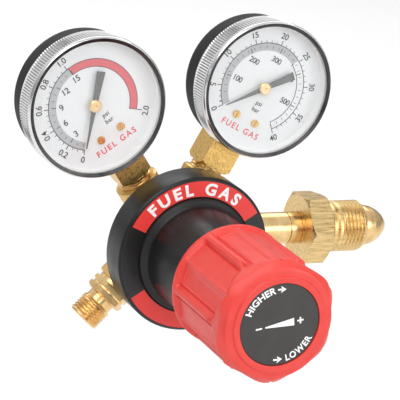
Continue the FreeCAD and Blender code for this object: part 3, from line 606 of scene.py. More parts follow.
class Print:
    """Thin printed shapes on a face that looks along -Y: X is right and Z up, in millimetres."""

    def __init__(self, surface):
        self.surface = surface
        self.points = []
        self.faces = []

    def add(self, outline):
        """A flat shape with a convex outline, as thin as ink."""
        first, count = len(self.points), len(outline)
        for depth in (self.surface - INK_T, self.surface):
            self.points.extend((x, depth, z) for x, z in outline)
        front = list(range(first, first + count))
        rear = [index + count for index in front]
        self.faces.append(front)
        self.faces.append(rear[::-1])
        for here, ahead in zip(range(count), [*range(1, count), 0]):
            self.faces.append((front[ahead], front[here], rear[here], rear[ahead]))

    def band(self, inner, outer, start, end, step=2.0):
        """Part of a ring; angles in degrees, clockwise from up."""
        parts = max(1, math.ceil(abs(end - start) / step))
        first = len(self.points)
        for part in range(parts + 1):
            angle = math.radians(start + (end - start) * part / parts)
            for radius, depth in ((inner, 0), (outer, 0), (outer, INK_T), (inner, INK_T)):
                self.points.append((radius * math.sin(angle), self.surface - depth,
                                    radius * math.cos(angle)))
        for part in range(parts):
            here, ahead = first + 4 * part, first + 4 * part + 4
            for side in range(4):
                other = (side + 1) % 4
                self.faces.append((here + side, here + other, ahead + other, ahead + side))
        last = first + 4 * parts
        self.faces.append((first + 3, first + 2, first + 1, first))
        self.faces.append((last, last + 1, last + 2, last + 3))

    def text(self, words, height, bend, spacing=1.0, weight=0.0):
        """Lettering of a given capital height, centred on x = 0 with its foot on y = 0, and
        then put in place by bend."""
        curve = bpy.data.curves.new("lettering", "FONT")
        curve.body = words
        curve.size = height / CAPITAL_SHARE
        curve.align_x = "CENTER"
        curve.space_character = spacing
        curve.offset = weight
        curve.extrude = INK_T / 2
        curve.resolution_u = 4
        holder = bpy.data.objects.new("lettering", curve)
        bpy.context.scene.collection.objects.link(holder)
        bpy.context.view_layer.update()
        mesh = bpy.data.meshes.new_from_object(holder)
        first = len(self.points)
        for vertex in mesh.vertices:
            x, z = bend(vertex.co.x, vertex.co.y)
            self.points.append((x, self.surface - INK_T / 2 - vertex.co.z, z))
        for polygon in mesh.polygons:
            self.faces.append(tuple(first + index for index in polygon.vertices))
        bpy.data.meshes.remove(mesh)
        bpy.data.objects.remove(holder)
        bpy.data.curves.remove(curve)

    def make(self, name, place, finish, body, slot):
        """Adds the shapes as one piece."""
        return add_piece(name, self.points, self.faces, place, finish, body)


def upright(x0, z0, turn=0.0):
    """Puts lettering at a point, turned clockwise by the given degrees."""
    angle = math.radians(-turn)

    def bend(x, z):
        return (x0 + x * math.cos(angle) - z * math.sin(angle),
                z0 + x * math.sin(angle) + z * math.cos(angle))
    return bend


def around(radius, middle_angle, heads_out=True):
    """Bends lettering round a circle; the angle is in degrees, clockwise from up."""
    def bend(x, z):
        side = 1 if heads_out else -1
        angle = math.radians(middle_angle) + side * x / radius
        reach = radius + side * z
        return reach * math.sin(angle), reach * math.cos(angle)
    return bend


# knob face: what turning does, with a plain pressure wedge between a minus and a plus
MARK_TILT = -9.0
MARK_HEIGHT = 2.6
MARK_WEIGHT = 0.10
HIGHER_FOOT_R = 12.9
HIGHER_ANGLE = -44
LOWER_FOOT_R = 15.4
LOWER_ANGLE = 138
ARROW_R = 14.1
ARROW_LINE_HALF = 0.35
ARROW_HEAD_HALF = 1.4
ARROW_HEAD_TURN = 7
ARROW_BARB_TURN = 2
WEDGE_HALF = 6.0
WEDGE_THIN_HALF = 0.25
WEDGE_THICK_HALF = 1.5
SIGN_PLACE = 8.6
SIGN_HALF = 1.3
SIGN_LINE_HALF = 0.32

face_print = Print(DISC_FRONT)
face_print.text("HIGHER", MARK_HEIGHT, around(HIGHER_FOOT_R, HIGHER_ANGLE),
                spacing=1.02, weight=MARK_WEIGHT)
face_print.text("LOWER", MARK_HEIGHT, around(LOWER_FOOT_R, LOWER_ANGLE, heads_out=False),
                spacing=1.12, weight=MARK_WEIGHT)


def arc_arrow(marks, tail, tip):
    """A short arrow that follows a circle of the knob's face."""
    way = 1 if tip > tail else -1
    neck = tip - way * ARROW_HEAD_TURN
    barb = neck - way * ARROW_BARB_TURN
    marks.band(ARROW_R - ARROW_LINE_HALF, ARROW_R + ARROW_LINE_HALF, tail, neck + way)
    inner_barb = around(ARROW_R - ARROW_HEAD_HALF, barb)(0, 0)
    outer_barb = around(ARROW_R + ARROW_HEAD_HALF, barb)(0, 0)
    point = around(ARROW_R, tip)(0, 0)
    notch = around(ARROW_R, neck)(0, 0)
    marks.add([inner_barb, point, notch])
    marks.add([point, outer_barb, notch])


arc_arrow(face_print, -10, 4)
arc_arrow(face_print, 184, 169)
tilt = upright(0, 0, MARK_TILT)


def add_bar(left, right, low, high):
    """A rectangle on the knob's face, tilted as its marks are."""
    face_print.add([tilt(left, low), tilt(right, low), tilt(right, high), tilt(left, high)])


face_print.add([tilt(-WEDGE_HALF, -WEDGE_THIN_HALF), tilt(WEDGE_HALF, -WEDGE_THICK_HALF),
                tilt(WEDGE_HALF, WEDGE_THICK_HALF), tilt(-WEDGE_HALF, WEDGE_THIN_HALF)])
for sign in (-SIGN_PLACE, SIGN_PLACE):
    add_bar(sign - SIGN_HALF, sign + SIGN_HALF, -SIGN_LINE_HALF, SIGN_LINE_HALF)
for low, high in ((-SIGN_HALF, -SIGN_LINE_HALF), (SIGN_LINE_HALF, SIGN_HALF)):
    add_bar(SIGN_PLACE - SIGN_LINE_HALF, SIGN_PLACE + SIGN_LINE_HALF, low, high)
face_print.make("knob_face_marks", REGULATOR, INK_WHITE, "knob", "label")

# bonnet label: a black ring with two red arcs and the kind of gas
LABEL_OUTER = 32.1
LABEL_INNER = 24.9
LABEL_FRONT = 0.0
LABEL_BACK = 0.3
RED_INNER = LABEL_INNER + 0.2
RED_OUTER = LABEL_OUTER - 0.5
RED_ARCS = ((-65.4, 56.7), (123.4, 236.6))    # in degrees, clockwise from up
GAS_NAME_HEIGHT = 4.7
GAS_NAME_FOOT_R = 26.0
GAS_NAME_ANGLE = -6.0

label_outline = rounded([
    (LABEL_OUTER, LABEL_BACK), (LABEL_OUTER, LABEL_FRONT, 0.1), (LABEL_INNER, LABEL_FRONT, 0.1),
    (LABEL_INNER, LABEL_BACK)])
points, faces = lathe(label_outline, BONNET_COLUMNS)
add_piece("label_ring", points, faces, REGULATOR, LABEL_BLACK, "regulator",
          ["bonnet_label"])
red_arcs = Print(LABEL_FRONT)
for start, end in RED_ARCS:
    red_arcs.band(RED_INNER, RED_OUTER, start, end)
red_arcs.make("label_red_arcs", REGULATOR, LABEL_RED, "regulator", "label")
gas_name = Print(LABEL_FRONT - INK_T)
gas_name.text("FUEL GAS", GAS_NAME_HEIGHT, around(GAS_NAME_FOOT_R, GAS_NAME_ANGLE),
              spacing=1.45, weight=0.26)
gas_name.make("label_gas_name", REGULATOR, INK_WHITE, "regulator", "label")

# ---- bonnet ----------------------------------

BONNET_FRONT = -38.0
NECK_FRONT_R = 17.8
NECK_SHOULDER_R = 20.8
NECK_ROOT_R = 21.7
NECK_ROOT = -2.3
RIM_R = 24.3
LABEL_SEAT = LABEL_BACK + 0.02
FLANGE_R = 33.0
FLANGE_BACK = 16.0
BUSHING_HOLE_R = 9.02
SPRING_ROOM_R = 16.0
SPRING_ROOM_FRONT = -33.0
DIAPHRAGM_ROOM_R = 22.0
BODY_ROOM_R = 29.55
BODY_ROOM_FRONT = 5.1

bonnet_outline = rounded([
    (BUSHING_HOLE_R, BONNET_FRONT), (NECK_FRONT_R, BONNET_FRONT, 0.6),
    (NECK_SHOULDER_R, BONNET_FRONT + 3.0, 2.0), (NECK_ROOT_R, NECK_ROOT, 1.8),
    (RIM_R - 0.7, NECK_ROOT + 0.8, 0.3), (RIM_R, NECK_ROOT + 1.2, 0.25),
    (RIM_R + 0.4, LABEL_SEAT, 0.15),
    (FLANGE_R - 0.8, LABEL_SEAT, 0.3), (FLANGE_R, 1.1, 0.6), (FLANGE_R, FLANGE_BACK - 1.5, 0.8),
    (FLANGE_R - 1.5, FLANGE_BACK, 0.3), (BODY_ROOM_R, FLANGE_BACK),
    (BODY_ROOM_R, BODY_ROOM_FRONT), (DIAPHRAGM_ROOM_R, BODY_ROOM_FRONT),
    (DIAPHRAGM_ROOM_R, 0.5), (SPRING_ROOM_R, -1.5), (SPRING_ROOM_R, SPRING_ROOM_FRONT),
    (BUSHING_HOLE_R, SPRING_ROOM_FRONT)])
points, faces = lathe(bonnet_outline, BONNET_COLUMNS)
add_piece("bonnet_shell", points, faces, REGULATOR, BLACK_ENAMEL, "regulator",
          ["bonnet"])

# ---- inlet -----------------------------------

NUT_TURN = math.radians(5.8)
NUT_AF = 28.58
NUT_CORNER = NUT_AF / math.sqrt(3)
NUT_START = 62.0
NUT_HEX_END = 71.5
NUT_CONE_END = 75.1
NUT_PITCH = 1.814
NUT_THREAD_START = 77.5
NUT_SHOULDER_END = 78.9
NUT_THREAD_END = 91.5
NUT_THREAD_R = 11.24
NUT_GROOVE = 1.0
NUT_NECK_R = 10.4
NUT_BORE_R = 7.02
NUT_CUP_R = 9.32
NUT_CUP_START = 84.0


def nut_shape(angle, radius, along):
    """Trims the nut to its hexagon and cuts its thread; the bore stays round."""
    if radius < NUT_NECK_R - 0.2:
        return radius, along
    groove = thread_depth(angle, along, NUT_SHOULDER_END, NUT_THREAD_END, NUT_PITCH)
    trimmed = six_sided(NUT_AF, NUT_TURN)(angle, radius, along)[0]
    return trimmed - NUT_GROOVE * groove, along


nut_outline = rounded([
    (NUT_BORE_R, NUT_START), (NUT_CORNER - 2.1, NUT_START, 0.1), (NUT_CORNER, NUT_START + 1.0),
    (NUT_CORNER, NUT_HEX_END), (NUT_NECK_R, NUT_CONE_END, 0.8),
    (NUT_NECK_R, NUT_THREAD_START - 0.6, 0.3), (NUT_THREAD_R, NUT_THREAD_START + 0.3, 0.2),
    (NUT_THREAD_R, NUT_THREAD_END - 1.0), (NUT_THREAD_R - 1.0, NUT_THREAD_END, 0.15),
    (NUT_CUP_R, NUT_THREAD_END, 0.2), (NUT_CUP_R, NUT_CUP_START), (NUT_BORE_R, NUT_CUP_START),
    (NUT_BORE_R, NUT_START)])
nut_outline = divided(nut_outline[:-1], NUT_PITCH / 10)
points, faces = lathe(nut_outline, FITTING_COLUMNS, nut_shape, NUT_TURN)
add_piece("inlet_nut_turned", points, faces, INLET, BRASS_NUT, "inlet_nut",
          ["inlet_nut"])

# both ports go into the body's bosses with a plain round end
PORT_START = 22.1
PORT_R = 6.8
BOSS_FACE = 30.52

NIPPLE_HEX = 15.88
NIPPLE_CORNER = 9.17
NIPPLE_FACE_R = 8.4
NIPPLE_HEX_END = 36.5
NIPPLE_CHAMFER = 0.7
NIPPLE_R = 6.95
NIPPLE_BORE_R = 3.0
NIPPLE_GROOVE_DEPTH = 0.5
COLLAR_R = 9.08
COLLAR_START = 84.45
NOSE_TIP = 105.0
NOSE_HOLE_R = 1.6
NOSE_WALL = 102.4


def nipple_shape(angle, radius, along):
    """Trims the nipple's inner end to its hexagon."""
    if BOSS_FACE - 0.12 < along < NIPPLE_HEX_END + 0.1 and radius > NIPPLE_R + 0.05:
        return six_sided(NIPPLE_HEX, 0.0)(angle, radius, along)
    return radius, along


def nipple_groove(front, back):
    """Corners of a narrow groove whose sides slope a little."""
    bottom = NIPPLE_R - NIPPLE_GROOVE_DEPTH
    return [(NIPPLE_R, front + 0.1), (bottom, front), (bottom, back), (NIPPLE_R, back - 0.1)]


nipple_outline = rounded([
    (NOSE_HOLE_R, NOSE_TIP), (2.0, NOSE_TIP, 0.15), (3.2, 104.2, 1.0), (5.3, 102.3, 3.0),
    (7.1, 100.0, 4.0), (8.4, 97.2, 5.0), (COLLAR_R, 93.6, 8.0), (COLLAR_R, COLLAR_START),
    (NIPPLE_R, COLLAR_START), *nipple_groove(61.3, 60.8), *nipple_groove(56.0, 55.6),
    (NIPPLE_R, NIPPLE_HEX_END), (NIPPLE_FACE_R, NIPPLE_HEX_END, 0.1),
    (NIPPLE_CORNER, NIPPLE_HEX_END - NIPPLE_CHAMFER), (NIPPLE_CORNER, 31.2),
    (NIPPLE_FACE_R, BOSS_FACE, 0.1), (PORT_R, BOSS_FACE), (PORT_R, PORT_START),
    (NIPPLE_BORE_R, PORT_START), (NIPPLE_BORE_R, NOSE_WALL), (NOSE_HOLE_R, NOSE_WALL)])
points, faces = lathe(divided(nipple_outline, 0.9), FITTING_COLUMNS, nipple_shape)
add_piece("inlet_nipple_turned", points, faces, INLET, BRASS_TURNED, "regulator",
          ["inlet_nipple"])

# ---- outlet ----------------------------------

OUTLET_AF = 15.88
OUTLET_CORNER = OUTLET_AF / math.sqrt(3)
OUTLET_TURN = math.radians(15.0)
OUTLET_HEX_START = 32.2
OUTLET_HEX_END = 38.6
OUTLET_FACE_R = 7.5
HEX_GROOVE_START = 34.2
HEX_GROOVE_END = 36.0
HEX_GROOVE_R = 7.9
OUTLET_SHANK_R = 7.6
OUTLET_PITCH = 1.411
OUTLET_THREAD_START = 41.8
OUTLET_THREAD_R = 7.14
OUTLET_GROOVE = 0.75
OUTLET_NECK_R = 6.0
OUTLET_END = 50.5
OUTLET_END_R = 6.3
OUTLET_BORE_R = 2.6
OUTLET_SEAT_R = 5.2


def outlet_shape(angle, radius, along):
    """Trims the hexagon and cuts the thread; the seat and the bore stay round."""
    if radius < OUTLET_SEAT_R + 0.3:
        return radius, along
    if OUTLET_HEX_START - 0.1 < along < OUTLET_HEX_END + 0.1 and radius > OUTLET_SHANK_R:
        return six_sided(OUTLET_AF, OUTLET_TURN)(angle, radius, along)
    groove = thread_depth(angle, along, OUTLET_THREAD_START, OUTLET_END, OUTLET_PITCH, -1)
    return radius - OUTLET_GROOVE * groove, along


outlet_outline = rounded([
    (OUTLET_BORE_R, OUTLET_END - 3.0), (OUTLET_SEAT_R, OUTLET_END),
    (OUTLET_END_R, OUTLET_END, 0.15), (OUTLET_THREAD_R, OUTLET_END - 0.8, 0.2),
    (OUTLET_THREAD_R, OUTLET_THREAD_START + 0.5, 0.1),
    (OUTLET_END_R, OUTLET_THREAD_START - 0.2, 0.3),
    (OUTLET_NECK_R, OUTLET_THREAD_START - 0.6, 0.3),
    (OUTLET_NECK_R, OUTLET_HEX_END + 0.02), (OUTLET_FACE_R, OUTLET_HEX_END, 0.2),
    (OUTLET_CORNER, OUTLET_HEX_END - 1.0), (OUTLET_CORNER, HEX_GROOVE_END),
    (HEX_GROOVE_R, HEX_GROOVE_END - 0.5, 0.1),
    (HEX_GROOVE_R, HEX_GROOVE_START + 0.5, 0.1), (OUTLET_CORNER, HEX_GROOVE_START),
    (OUTLET_CORNER, OUTLET_HEX_START + 0.7), (OUTLET_FACE_R + 0.8, OUTLET_HEX_START, 0.1),
    (OUTLET_SHANK_R, OUTLET_HEX_START),
    (OUTLET_SHANK_R, BOSS_FACE, 0.2), (PORT_R, BOSS_FACE), (PORT_R, PORT_START),
    (OUTLET_BORE_R, PORT_START)])
outlet_outline = divided(outlet_outline, OUTLET_PITCH / 9)
points, faces = lathe(outlet_outline, FITTING_COLUMNS, outlet_shape, OUTLET_TURN)
add_piece("outlet_fitting_turned", points, faces, OUTLET, BRASS_TURNED, "regulator",
          ["outlet_fitting"])

# ---- gauges ----------------------------------

KNURLS = 160
BEZEL_R = 29.1
BEZEL_BACK = 9.0
BEZEL_BORE_R = 27.95
LENS_SEAT_R = 28.03
LIP_INNER_R = 26.9
LENS_EDGE = -1.7
# the lip's faces inside this radius carry the painted shade
PAINTED_SHADE_LIP_R = 28.45
KNURL_FRONT = -0.6
KNURL_BACK = 8.2
KNURL_DEPTH = 0.6
KNURL_FADE = 0.5
# knurl faces below this radius carry the painted shade
KNURL_PAINTED_SHADE_R = BEZEL_R - 0.6 * KNURL_DEPTH
CASE_R = 27.9
CASE_INSIDE_R = 26.7
CASE_FRONT = 4.25
CASE_BACK = 23.2
CASE_WALL_BACK = 22.0
CASE_DIP_R = 12.0
CASE_DIP = 22.9
LENS_R = 27.98
LENS_BACK = -0.35
DIAL_FACE = 3.6
DIAL_BACK = DIAL_FACE + 0.6
DIAL_R = 27.5
DIAL_HOLE_R = 1.5
SCALE_START = -138.0
ARC_R = 18.9
BAND_R = 15.7
ARC_LINE_HALF = 0.14
THIN = 0.2
THICK = 0.3


def knurled(angle, radius, along):
    """Cuts straight knurls into the bezel's outside."""
    if radius < BEZEL_R - 0.05 or not KNURL_FRONT < along < KNURL_BACK:
        return radius, along
    wave = (1 + math.cos(KNURLS * angle)) / 2
    fade = smooth_step(min(along - KNURL_FRONT, KNURL_BACK - along), 0.0, KNURL_FADE)
    return radius - KNURL_DEPTH * fade * (1 - wave ** 0.8), along


def make_bezel(side, place):
    """Chromed ring; its inner lip is painted near-black as painted shade, and the knurls' valleys
    are painted darker grey as painted shade.
    """
    outline = rounded([
        (BEZEL_BORE_R, BEZEL_BACK), (BEZEL_BORE_R, 3.7), (LENS_SEAT_R, -0.3),
        (LENS_SEAT_R, LENS_EDGE), (LIP_INNER_R, LENS_EDGE - 0.18), (28.2, -2.4, 0.4),
        (28.5, -BEZEL_STANDS_OUT, 0.15), (BEZEL_R, -1.6, 0.8), (BEZEL_R, BEZEL_BACK - 0.2, 0.2),
        (BEZEL_R - 0.4, BEZEL_BACK, 0.15)], 4)
    points, faces = lathe(divided(outline, 1.1), KNURLS * 4, knurled)
    bezel = add_piece(side + "_gauge_bezel_ring", points, faces, place, CHROME, "regulator",
                      [side + "_gauge_bezel"])
    bezel.data.materials.append(CHROME_LIP_PAINTED_SHADE)
    bezel.data.materials.append(KNURL_PAINTED_SHADE)
    own = bezel.data.attributes["own"].data
    for polygon in bezel.data.polygons:
        corners = [own[index].vector for index in polygon.vertices]
        radius = sum(math.hypot(corner.x, corner.z) for corner in corners) / len(corners)
        along = sum(corner.y for corner in corners) / len(corners)
        # the inner lip's faces get the painted shade
        if radius < PAINTED_SHADE_LIP_R and along < LENS_EDGE:
            polygon.material_index = 1
        # the knurls' valley faces get the painted shade
        elif radius < KNURL_PAINTED_SHADE_R and KNURL_FRONT < along < KNURL_BACK:
            polygon.material_index = 2


def make_case(side, place):
    """A drum with a rounded back edge and a shallow round dip in its back."""
    outline = rounded([
        (0, CASE_WALL_BACK), (CASE_INSIDE_R, CASE_WALL_BACK, 3.8), (CASE_INSIDE_R, CASE_FRONT),
        (CASE_R, CASE_FRONT), (CASE_R, CASE_BACK, 5.0), (CASE_DIP_R, CASE_BACK, 0.3),
        (CASE_DIP_R - 0.4, CASE_DIP, 0.3), (0, CASE_DIP)], 10)
    points, faces = lathe(divided(outline, 4.0), CASE_COLUMNS)
    add_piece(side + "_gauge_case_drum", points, faces, place, CASE_ENAMEL, "regulator",
              [side + "_gauge_case"])


def make_lens(side, place):
    """A thin window whose front is slightly crowned."""
    crown = [(0, -2.25), (8.0, -2.2), (15.0, -2.08), (21.0, -1.95), (26.0, -1.84), (27.25, -1.8)]
    outline = [*crown, (LENS_R - 0.08, LENS_EDGE - 0.06), (LENS_R, LENS_EDGE),
               (LENS_R, LENS_BACK), (0, LENS_BACK)]
    points, faces = lathe(outline, DISC_COLUMNS)
    add_piece(side + "_gauge_window", points, faces, place, GLASS, "regulator",
              [side + "_gauge_lens"])


def make_dial(side, place):
    """A flat plate with a hole for the arbor."""
    rim = rounded([
        (DIAL_R - 0.5, DIAL_FACE), (DIAL_R, DIAL_FACE, 0.1), (DIAL_R, DIAL_BACK, 0.1),
        (DIAL_R - 0.5, DIAL_BACK)])
    outline = [(DIAL_HOLE_R, DIAL_FACE), (10.0, DIAL_FACE), (20.0, DIAL_FACE), *rim,
               (DIAL_HOLE_R, DIAL_BACK)]
    points, faces = lathe(outline, DISC_COLUMNS)
    add_piece(side + "_gauge_dial_plate", points, faces, place, DIAL_WHITE, "regulator",
              [side + "_gauge_dial"])


def number_turn(angle):
    """Turn of a figure that follows its angle but never stands on its head."""
    return angle if abs(angle) <= 90 else angle - math.copysign(180, angle)


def outer_number(marks, words, angle, radius=22.9, height=2.5):
    """A figure outside the arc, turned with it."""
    turn = number_turn(angle)
    foot = radius - height / 2 if turn == angle else radius + height / 2
    spot = math.radians(angle)
    place = upright(foot * math.sin(spot), foot * math.cos(spot), turn)
    marks.text(words, height, place, spacing=0.95, weight=0.03)


def inner_number(marks, words, angle, radius=13.4, height=2.6):
    """An upright figure inside the band."""
    spot = math.radians(angle)
    place = upright(radius * math.sin(spot), radius * math.cos(spot) - height / 2)
    marks.text(words, height, place, spacing=0.92, weight=0.03)


def tick(marks, angle, inner, outer, width):
    """A radial line of a given width."""
    half = math.degrees(width / 2 / ((inner + outer) / 2))
    marks.band(inner, outer, angle - half, angle + half)


def outline_band(marks, inner, outer, start, end, width):
    """The drawn outline of a band."""
    marks.band(inner - width / 2, inner + width / 2, start, end)
    marks.band(outer - width / 2, outer + width / 2, start, end)
    for angle in (start, end):
        tick(marks, angle, inner, outer, width)


# degrees for each unit of a scale, and the angle where its zero would be
LOW_BAR = (137.8, -143.0)
LOW_PSI = (9.5, -144.5)
HIGH_BAR = (7.05, -147.0)
HIGH_PSI = (0.475, -144.7)


def scale_angle(scale, value):
    degrees, zero = scale
    return degrees * value + zero


def low_scale(prints):
    """0 to 15 psi and 0 to 1 bar, and then a red band that ends at 2 bar."""
    red_start = -3.0
    end = 132.0
    major_r = 20.8
    minor_r = 20.0
    black = prints["scale"]
    prints["grey_band"].band(BAND_R, ARC_R, SCALE_START, red_start)
    prints["red_band"].band(BAND_R + 0.1, ARC_R - 0.1, red_start, end)
    outline_band(black, BAND_R, ARC_R, red_start, end, 0.22)
    black.band(ARC_R - ARC_LINE_HALF, ARC_R + ARC_LINE_HALF, SCALE_START, red_start)
    tick(black, SCALE_START, ARC_R, major_r, THICK)
    for step in range(1, 21):
        major = step % 4 == 0
        tick(black, scale_angle(LOW_BAR, step / 20), ARC_R, major_r if major else minor_r,
             THICK if major else THIN)
    for psi in range(1, 16):
        major = psi % 3 == 0
        tick(black, scale_angle(LOW_PSI, psi), BAND_R if major else BAND_R + 0.9, BAND_R + 1.9,
             THICK if major else THIN)
    tick(black, end, ARC_R, major_r + 0.4, THICK)
    for psi in (3, 6, 9, 12, 15):
        inner_number(black, str(psi), scale_angle(LOW_PSI, psi))
    outer_number(black, "0", SCALE_START)
    for bar in (0.2, 0.4, 0.6, 0.8, 1.0):
        outer_number(black, f"{bar:.1f}", scale_angle(LOW_BAR, bar))
    outer_number(black, "2.0", end + 0.6)


def high_scale(prints):
    """0 to 40 bar, and 0 to 500 psi and a little more."""
    grey_end = 27.0
    end = 135.0
    major_r = 20.9
    minor_r = 20.0
    black = prints["scale"]
    prints["grey_band"].band(BAND_R, ARC_R, SCALE_START, grey_end)
    black.band(ARC_R - ARC_LINE_HALF, ARC_R + ARC_LINE_HALF, SCALE_START, end)
    black.band(BAND_R - ARC_LINE_HALF, BAND_R + ARC_LINE_HALF, grey_end, end)
    tick(black, grey_end, BAND_R - 0.5, BAND_R + 0.8, 0.25)
    tick(black, end, BAND_R, ARC_R, 0.25)
    for bar in range(41):
        major = bar % 5 == 0
        angle = scale_angle(HIGH_BAR, bar) if bar > 1 else SCALE_START + 6 * bar
        tick(black, angle, ARC_R, major_r if major else minor_r, THICK if major else THIN)
    for psi in range(50, 600, 20):
        tick(black, scale_angle(HIGH_PSI, psi), BAND_R + 0.9, BAND_R + 2.0, THIN)
    for psi in range(100, 600, 100):
        tick(black, scale_angle(HIGH_PSI, psi), BAND_R, BAND_R + 2.2, 0.32)
        inner_number(black, str(psi), scale_angle(HIGH_PSI, psi), radius=12.6, height=2.4)
    outer_number(black, "0", SCALE_START)
    for bar in range(5, 45, 5):
        outer_number(black, str(bar), scale_angle(HIGH_BAR, bar))


PRINT_INKS = {
    "scale": INK_BLACK, "grey_band": INK_GREY, "red_band": BAND_RED, "gas_name": INK_RED}
DIAL_NAME_FOOT = -20.6
DIAL_NAME_HEIGHT = 2.5
UNIT_HEIGHT = 1.9
UNIT_PLACE = 2.2
UNIT_FEET = {"psi": -7.4, "bar": -10.4}


def make_prints(side, place, draw_scale):
    """The dial's inks, each a piece of its own; the black one lies over the others."""
    prints = {name: Print(DIAL_FACE) for name in PRINT_INKS}
    prints["scale"].surface = DIAL_FACE - INK_T
    draw_scale(prints)
    prints["gas_name"].text("FUEL GAS", DIAL_NAME_HEIGHT, upright(0, DIAL_NAME_FOOT),
                            spacing=1.3, weight=0.07)
    for unit, foot in UNIT_FEET.items():
        prints["scale"].text(unit, UNIT_HEIGHT, upright(UNIT_PLACE, foot),
                             spacing=1.05, weight=0.02)
    for name, marks in prints.items():
        if marks.points:
            marks.make(f"{side}_gauge_{name}", place, PRINT_INKS[name], "regulator", "dial_white")


# places along the pointer's blade, from its tip to its tail, and its half-width at each
BLADE = ((18.0, 0.22), (10.0, 0.55), (3.0, 0.95), (0.0, 1.2), (-3.0, 1.15), (-9.0, 1.5),
         (-14.0, 1.8))
BLADE_FRONT = 1.62
BLADE_BACK = 1.98
BLADE_BEVEL = 0.12
HUB_R = 2.6
HUB_FRONT = 0.47
HUB_BACK = 1.6
HUB_DIMPLE = 0.85


def make_pointer(side, place):
    """Bevelled blade with a waist at the hub; it rests on the scale's zero."""
    points, faces = [], []
    turn = math.radians(SCALE_START)
    for along, half in BLADE:
        section = (
            (-half, BLADE_BACK), (-half, BLADE_FRONT + BLADE_BEVEL),
            (-half + BLADE_BEVEL, BLADE_FRONT), (half - BLADE_BEVEL, BLADE_FRONT),
            (half, BLADE_FRONT + BLADE_BEVEL), (half, BLADE_BACK))
        for x, depth in section:
            points.append((x * math.cos(turn) + along * math.sin(turn), depth,
                           along * math.cos(turn) - x * math.sin(turn)))
    for row in range(len(BLADE) - 1):
        here, ahead = 6 * row, 6 * row + 6
        for corner in range(6):
            other = (corner + 1) % 6
            faces.append((here + corner, here + other, ahead + other, ahead + corner))
    faces.append(tuple(range(6)))
    faces.append(tuple(range(len(points) - 1, len(points) - 7, -1)))
    add_piece(side + "_gauge_pointer_blade", points, faces, place, POINTER_GREY,
              side + "_pointer", [side + "_gauge_pointer"])
    hub = rounded([
        (0, HUB_DIMPLE), (0.3, HUB_DIMPLE), (0.65, HUB_FRONT), (HUB_R - 0.5, HUB_FRONT, 0.3),
        (HUB_R, 0.9, 0.2), (HUB_R, HUB_BACK), (0, HUB_BACK)])
    points, faces = lathe(hub, HUB_COLUMNS)
    add_piece(side + "_gauge_hub_cap", points, faces, place, BRASS_HUB, side + "_pointer",
              [side + "_gauge_pointer_hub"])


STEM_FROM_BACK = 7.05
STEM_CORE_R = 5.0
STEM_R = 7.1
STEM_START = BOSS_FACE + 0.03
STEM_END = 33.6
STEM_PITCH = 1.411
STEM_THREAD_DEPTH = 0.7


def stem_shape(angle, radius, along):
    """Cuts the stem's thread; its core stays round."""
    if radius < STEM_CORE_R + 1.0:
        return radius, along
    groove = thread_depth(angle, along, STEM_START - 0.35, STEM_END + 0.4, STEM_PITCH)
    return radius - STEM_THREAD_DEPTH * groove, along


def make_stem_thread(side, place):
    """The last turns of the stem's taper thread, between the square and the boss."""
    away = place @ Vector((0, 0, 1)) - place @ Vector((0, 0, 0))
    socket_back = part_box(side + "_gauge_socket")[1].y
    stem = Vector((AXIS.x, socket_back - STEM_FROM_BACK * MM, AXIS.z))
    outline = rounded([(STEM_CORE_R, STEM_START), (STEM_R, STEM_START, 0.2), (STEM_R, STEM_END),
                       (STEM_CORE_R, STEM_END)])
    points, faces = lathe(divided(outline, STEM_PITCH / 10), STEM_COLUMNS, stem_shape)
    add_piece(side + "_gauge_stem_thread", points, faces,
              placed(stem, FRONT, away.normalized()), BRASS_TURNED, "regulator")


for side, draw_scale in (("low", low_scale), ("high", high_scale)):
    place = GAUGES[side]
    make_bezel(side, place)
    make_case(side, place)
    make_lens(side, place)
    make_dial(side, place)
    make_prints(side, place, draw_scale)
    make_pointer(side, place)
    make_stem_thread(side, place)

# ---- finishes for the pieces that keep their CAD shape

NODE_FINISHES = {
    "regulator_body": BRASS_CAST, "body_cap": BRASS_CAST, "screw_bushing": BRASS_INSIDE,
    "adjusting_screw": STEEL, "diaphragm": RUBBER, "main_spring": STEEL, "valve_spring": STEEL,
    "gasket": WHITE_RUBBER, "socket": BRASS_STEM, "hairspring": STEEL, "spring_button": STEEL,
    "diaphragm_plate": STEEL}

for name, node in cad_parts.items():
    piece_name = name.replace("low_gauge_", "").replace("high_gauge_", "")
    finish = NODE_FINISHES.get(piece_name, BRASS_INSIDE)
    for slot in node.material_slots:
        slot.material = finish

# ---- stage, light and camera -----------------

FLOOR_R = 6.0
FLOOR_DROP = 0.12
GLOW_TOP = 0.85
GLOW_LEVEL = 0.34
GLOW_OVERHEAD = 0.8

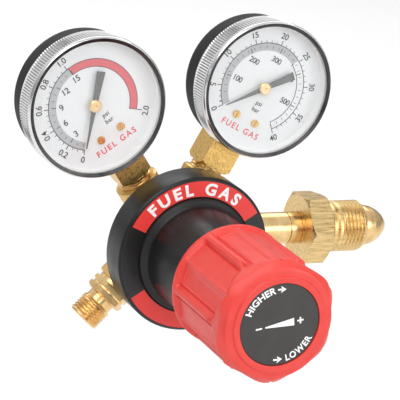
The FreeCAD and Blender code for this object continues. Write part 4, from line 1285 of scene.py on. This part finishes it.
floor_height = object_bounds()[0].z - FLOOR_DROP
bpy.ops.mesh.primitive_circle_add(vertices=96, radius=FLOOR_R, fill_type="NGON",
                                  location=(0, 0, floor_height))
floor = bpy.context.object
floor.name = "studio_floor"
paper = Finish("floor_paper", (0.80, 0.80, 0.80), 0.9, own=False)
paper.bump(paper.noise(0.2), 0.05)
floor.data.materials.append(paper.material)

# white surroundings that get brighter from the horizon upwards
world = bpy.data.worlds.new("studio")
bpy.context.scene.world = world
world.use_nodes = True
sky = world.node_tree
direction = sky.nodes.new("ShaderNodeTexCoord")
height = sky.nodes.new("ShaderNodeSeparateXYZ")
sky.links.new(direction.outputs["Generated"], height.inputs["Vector"])
glow = map_range(sky, height.outputs["Z"], GLOW_LEVEL, GLOW_OVERHEAD, 0.0, GLOW_TOP)
glow.node.interpolation_type = "SMOOTHSTEP"
sky.nodes["Background"].inputs["Color"].default_value = (1, 1, 1, 1)
sky.links.new(glow, sky.nodes["Background"].inputs["Strength"])


def softbox(name, place, size, power, aim=middle("bonnet")):
    """A square area light that looks at a point: the middle of the object unless told."""
    lamp = bpy.data.lights.new(name, "AREA")
    lamp.shape = "SQUARE"
    lamp.size = size
    lamp.energy = power
    holder = bpy.data.objects.new(name, lamp)
    bpy.context.scene.collection.objects.link(holder)
    holder.location = place
    holder.rotation_euler = (Vector(aim) - Vector(place)).to_track_quat("-Z", "Y").to_euler()


softbox("key_light", (-0.65, -0.45, 1.1), 1.1, 8.2)
softbox("front_light", (-0.25, -1.2, 0.6), 0.7, 3.8)
softbox("side_light", (0.75, -1.1, 0.3), 0.7, 4.5)
softbox("rear_light", (-0.4, 1.0, 0.6), 1.0, 1.5)
softbox("floor_light", (0.5, 1.1, 1.1), 1.3, 9, (0.5, 1.0, floor_height))

camera = bpy.data.cameras.new("camera")
camera.sensor_width = 36.0
camera.lens = CAMERA_LENS
camera.clip_start = 0.01
camera_holder = bpy.data.objects.new("camera", camera)
bpy.context.scene.collection.objects.link(camera_holder)
right = CAMERA_RIGHT.normalized()
backward = -CAMERA_FORWARD.normalized()
upward = backward.cross(right)
camera_turn = Matrix((right, upward, backward)).transposed().to_4x4()
camera_holder.matrix_world = Matrix.Translation(CAMERA_PLACE) @ camera_turn
bpy.context.scene.camera = camera_holder
bpy.context.scene.view_settings.view_transform = "Standard"
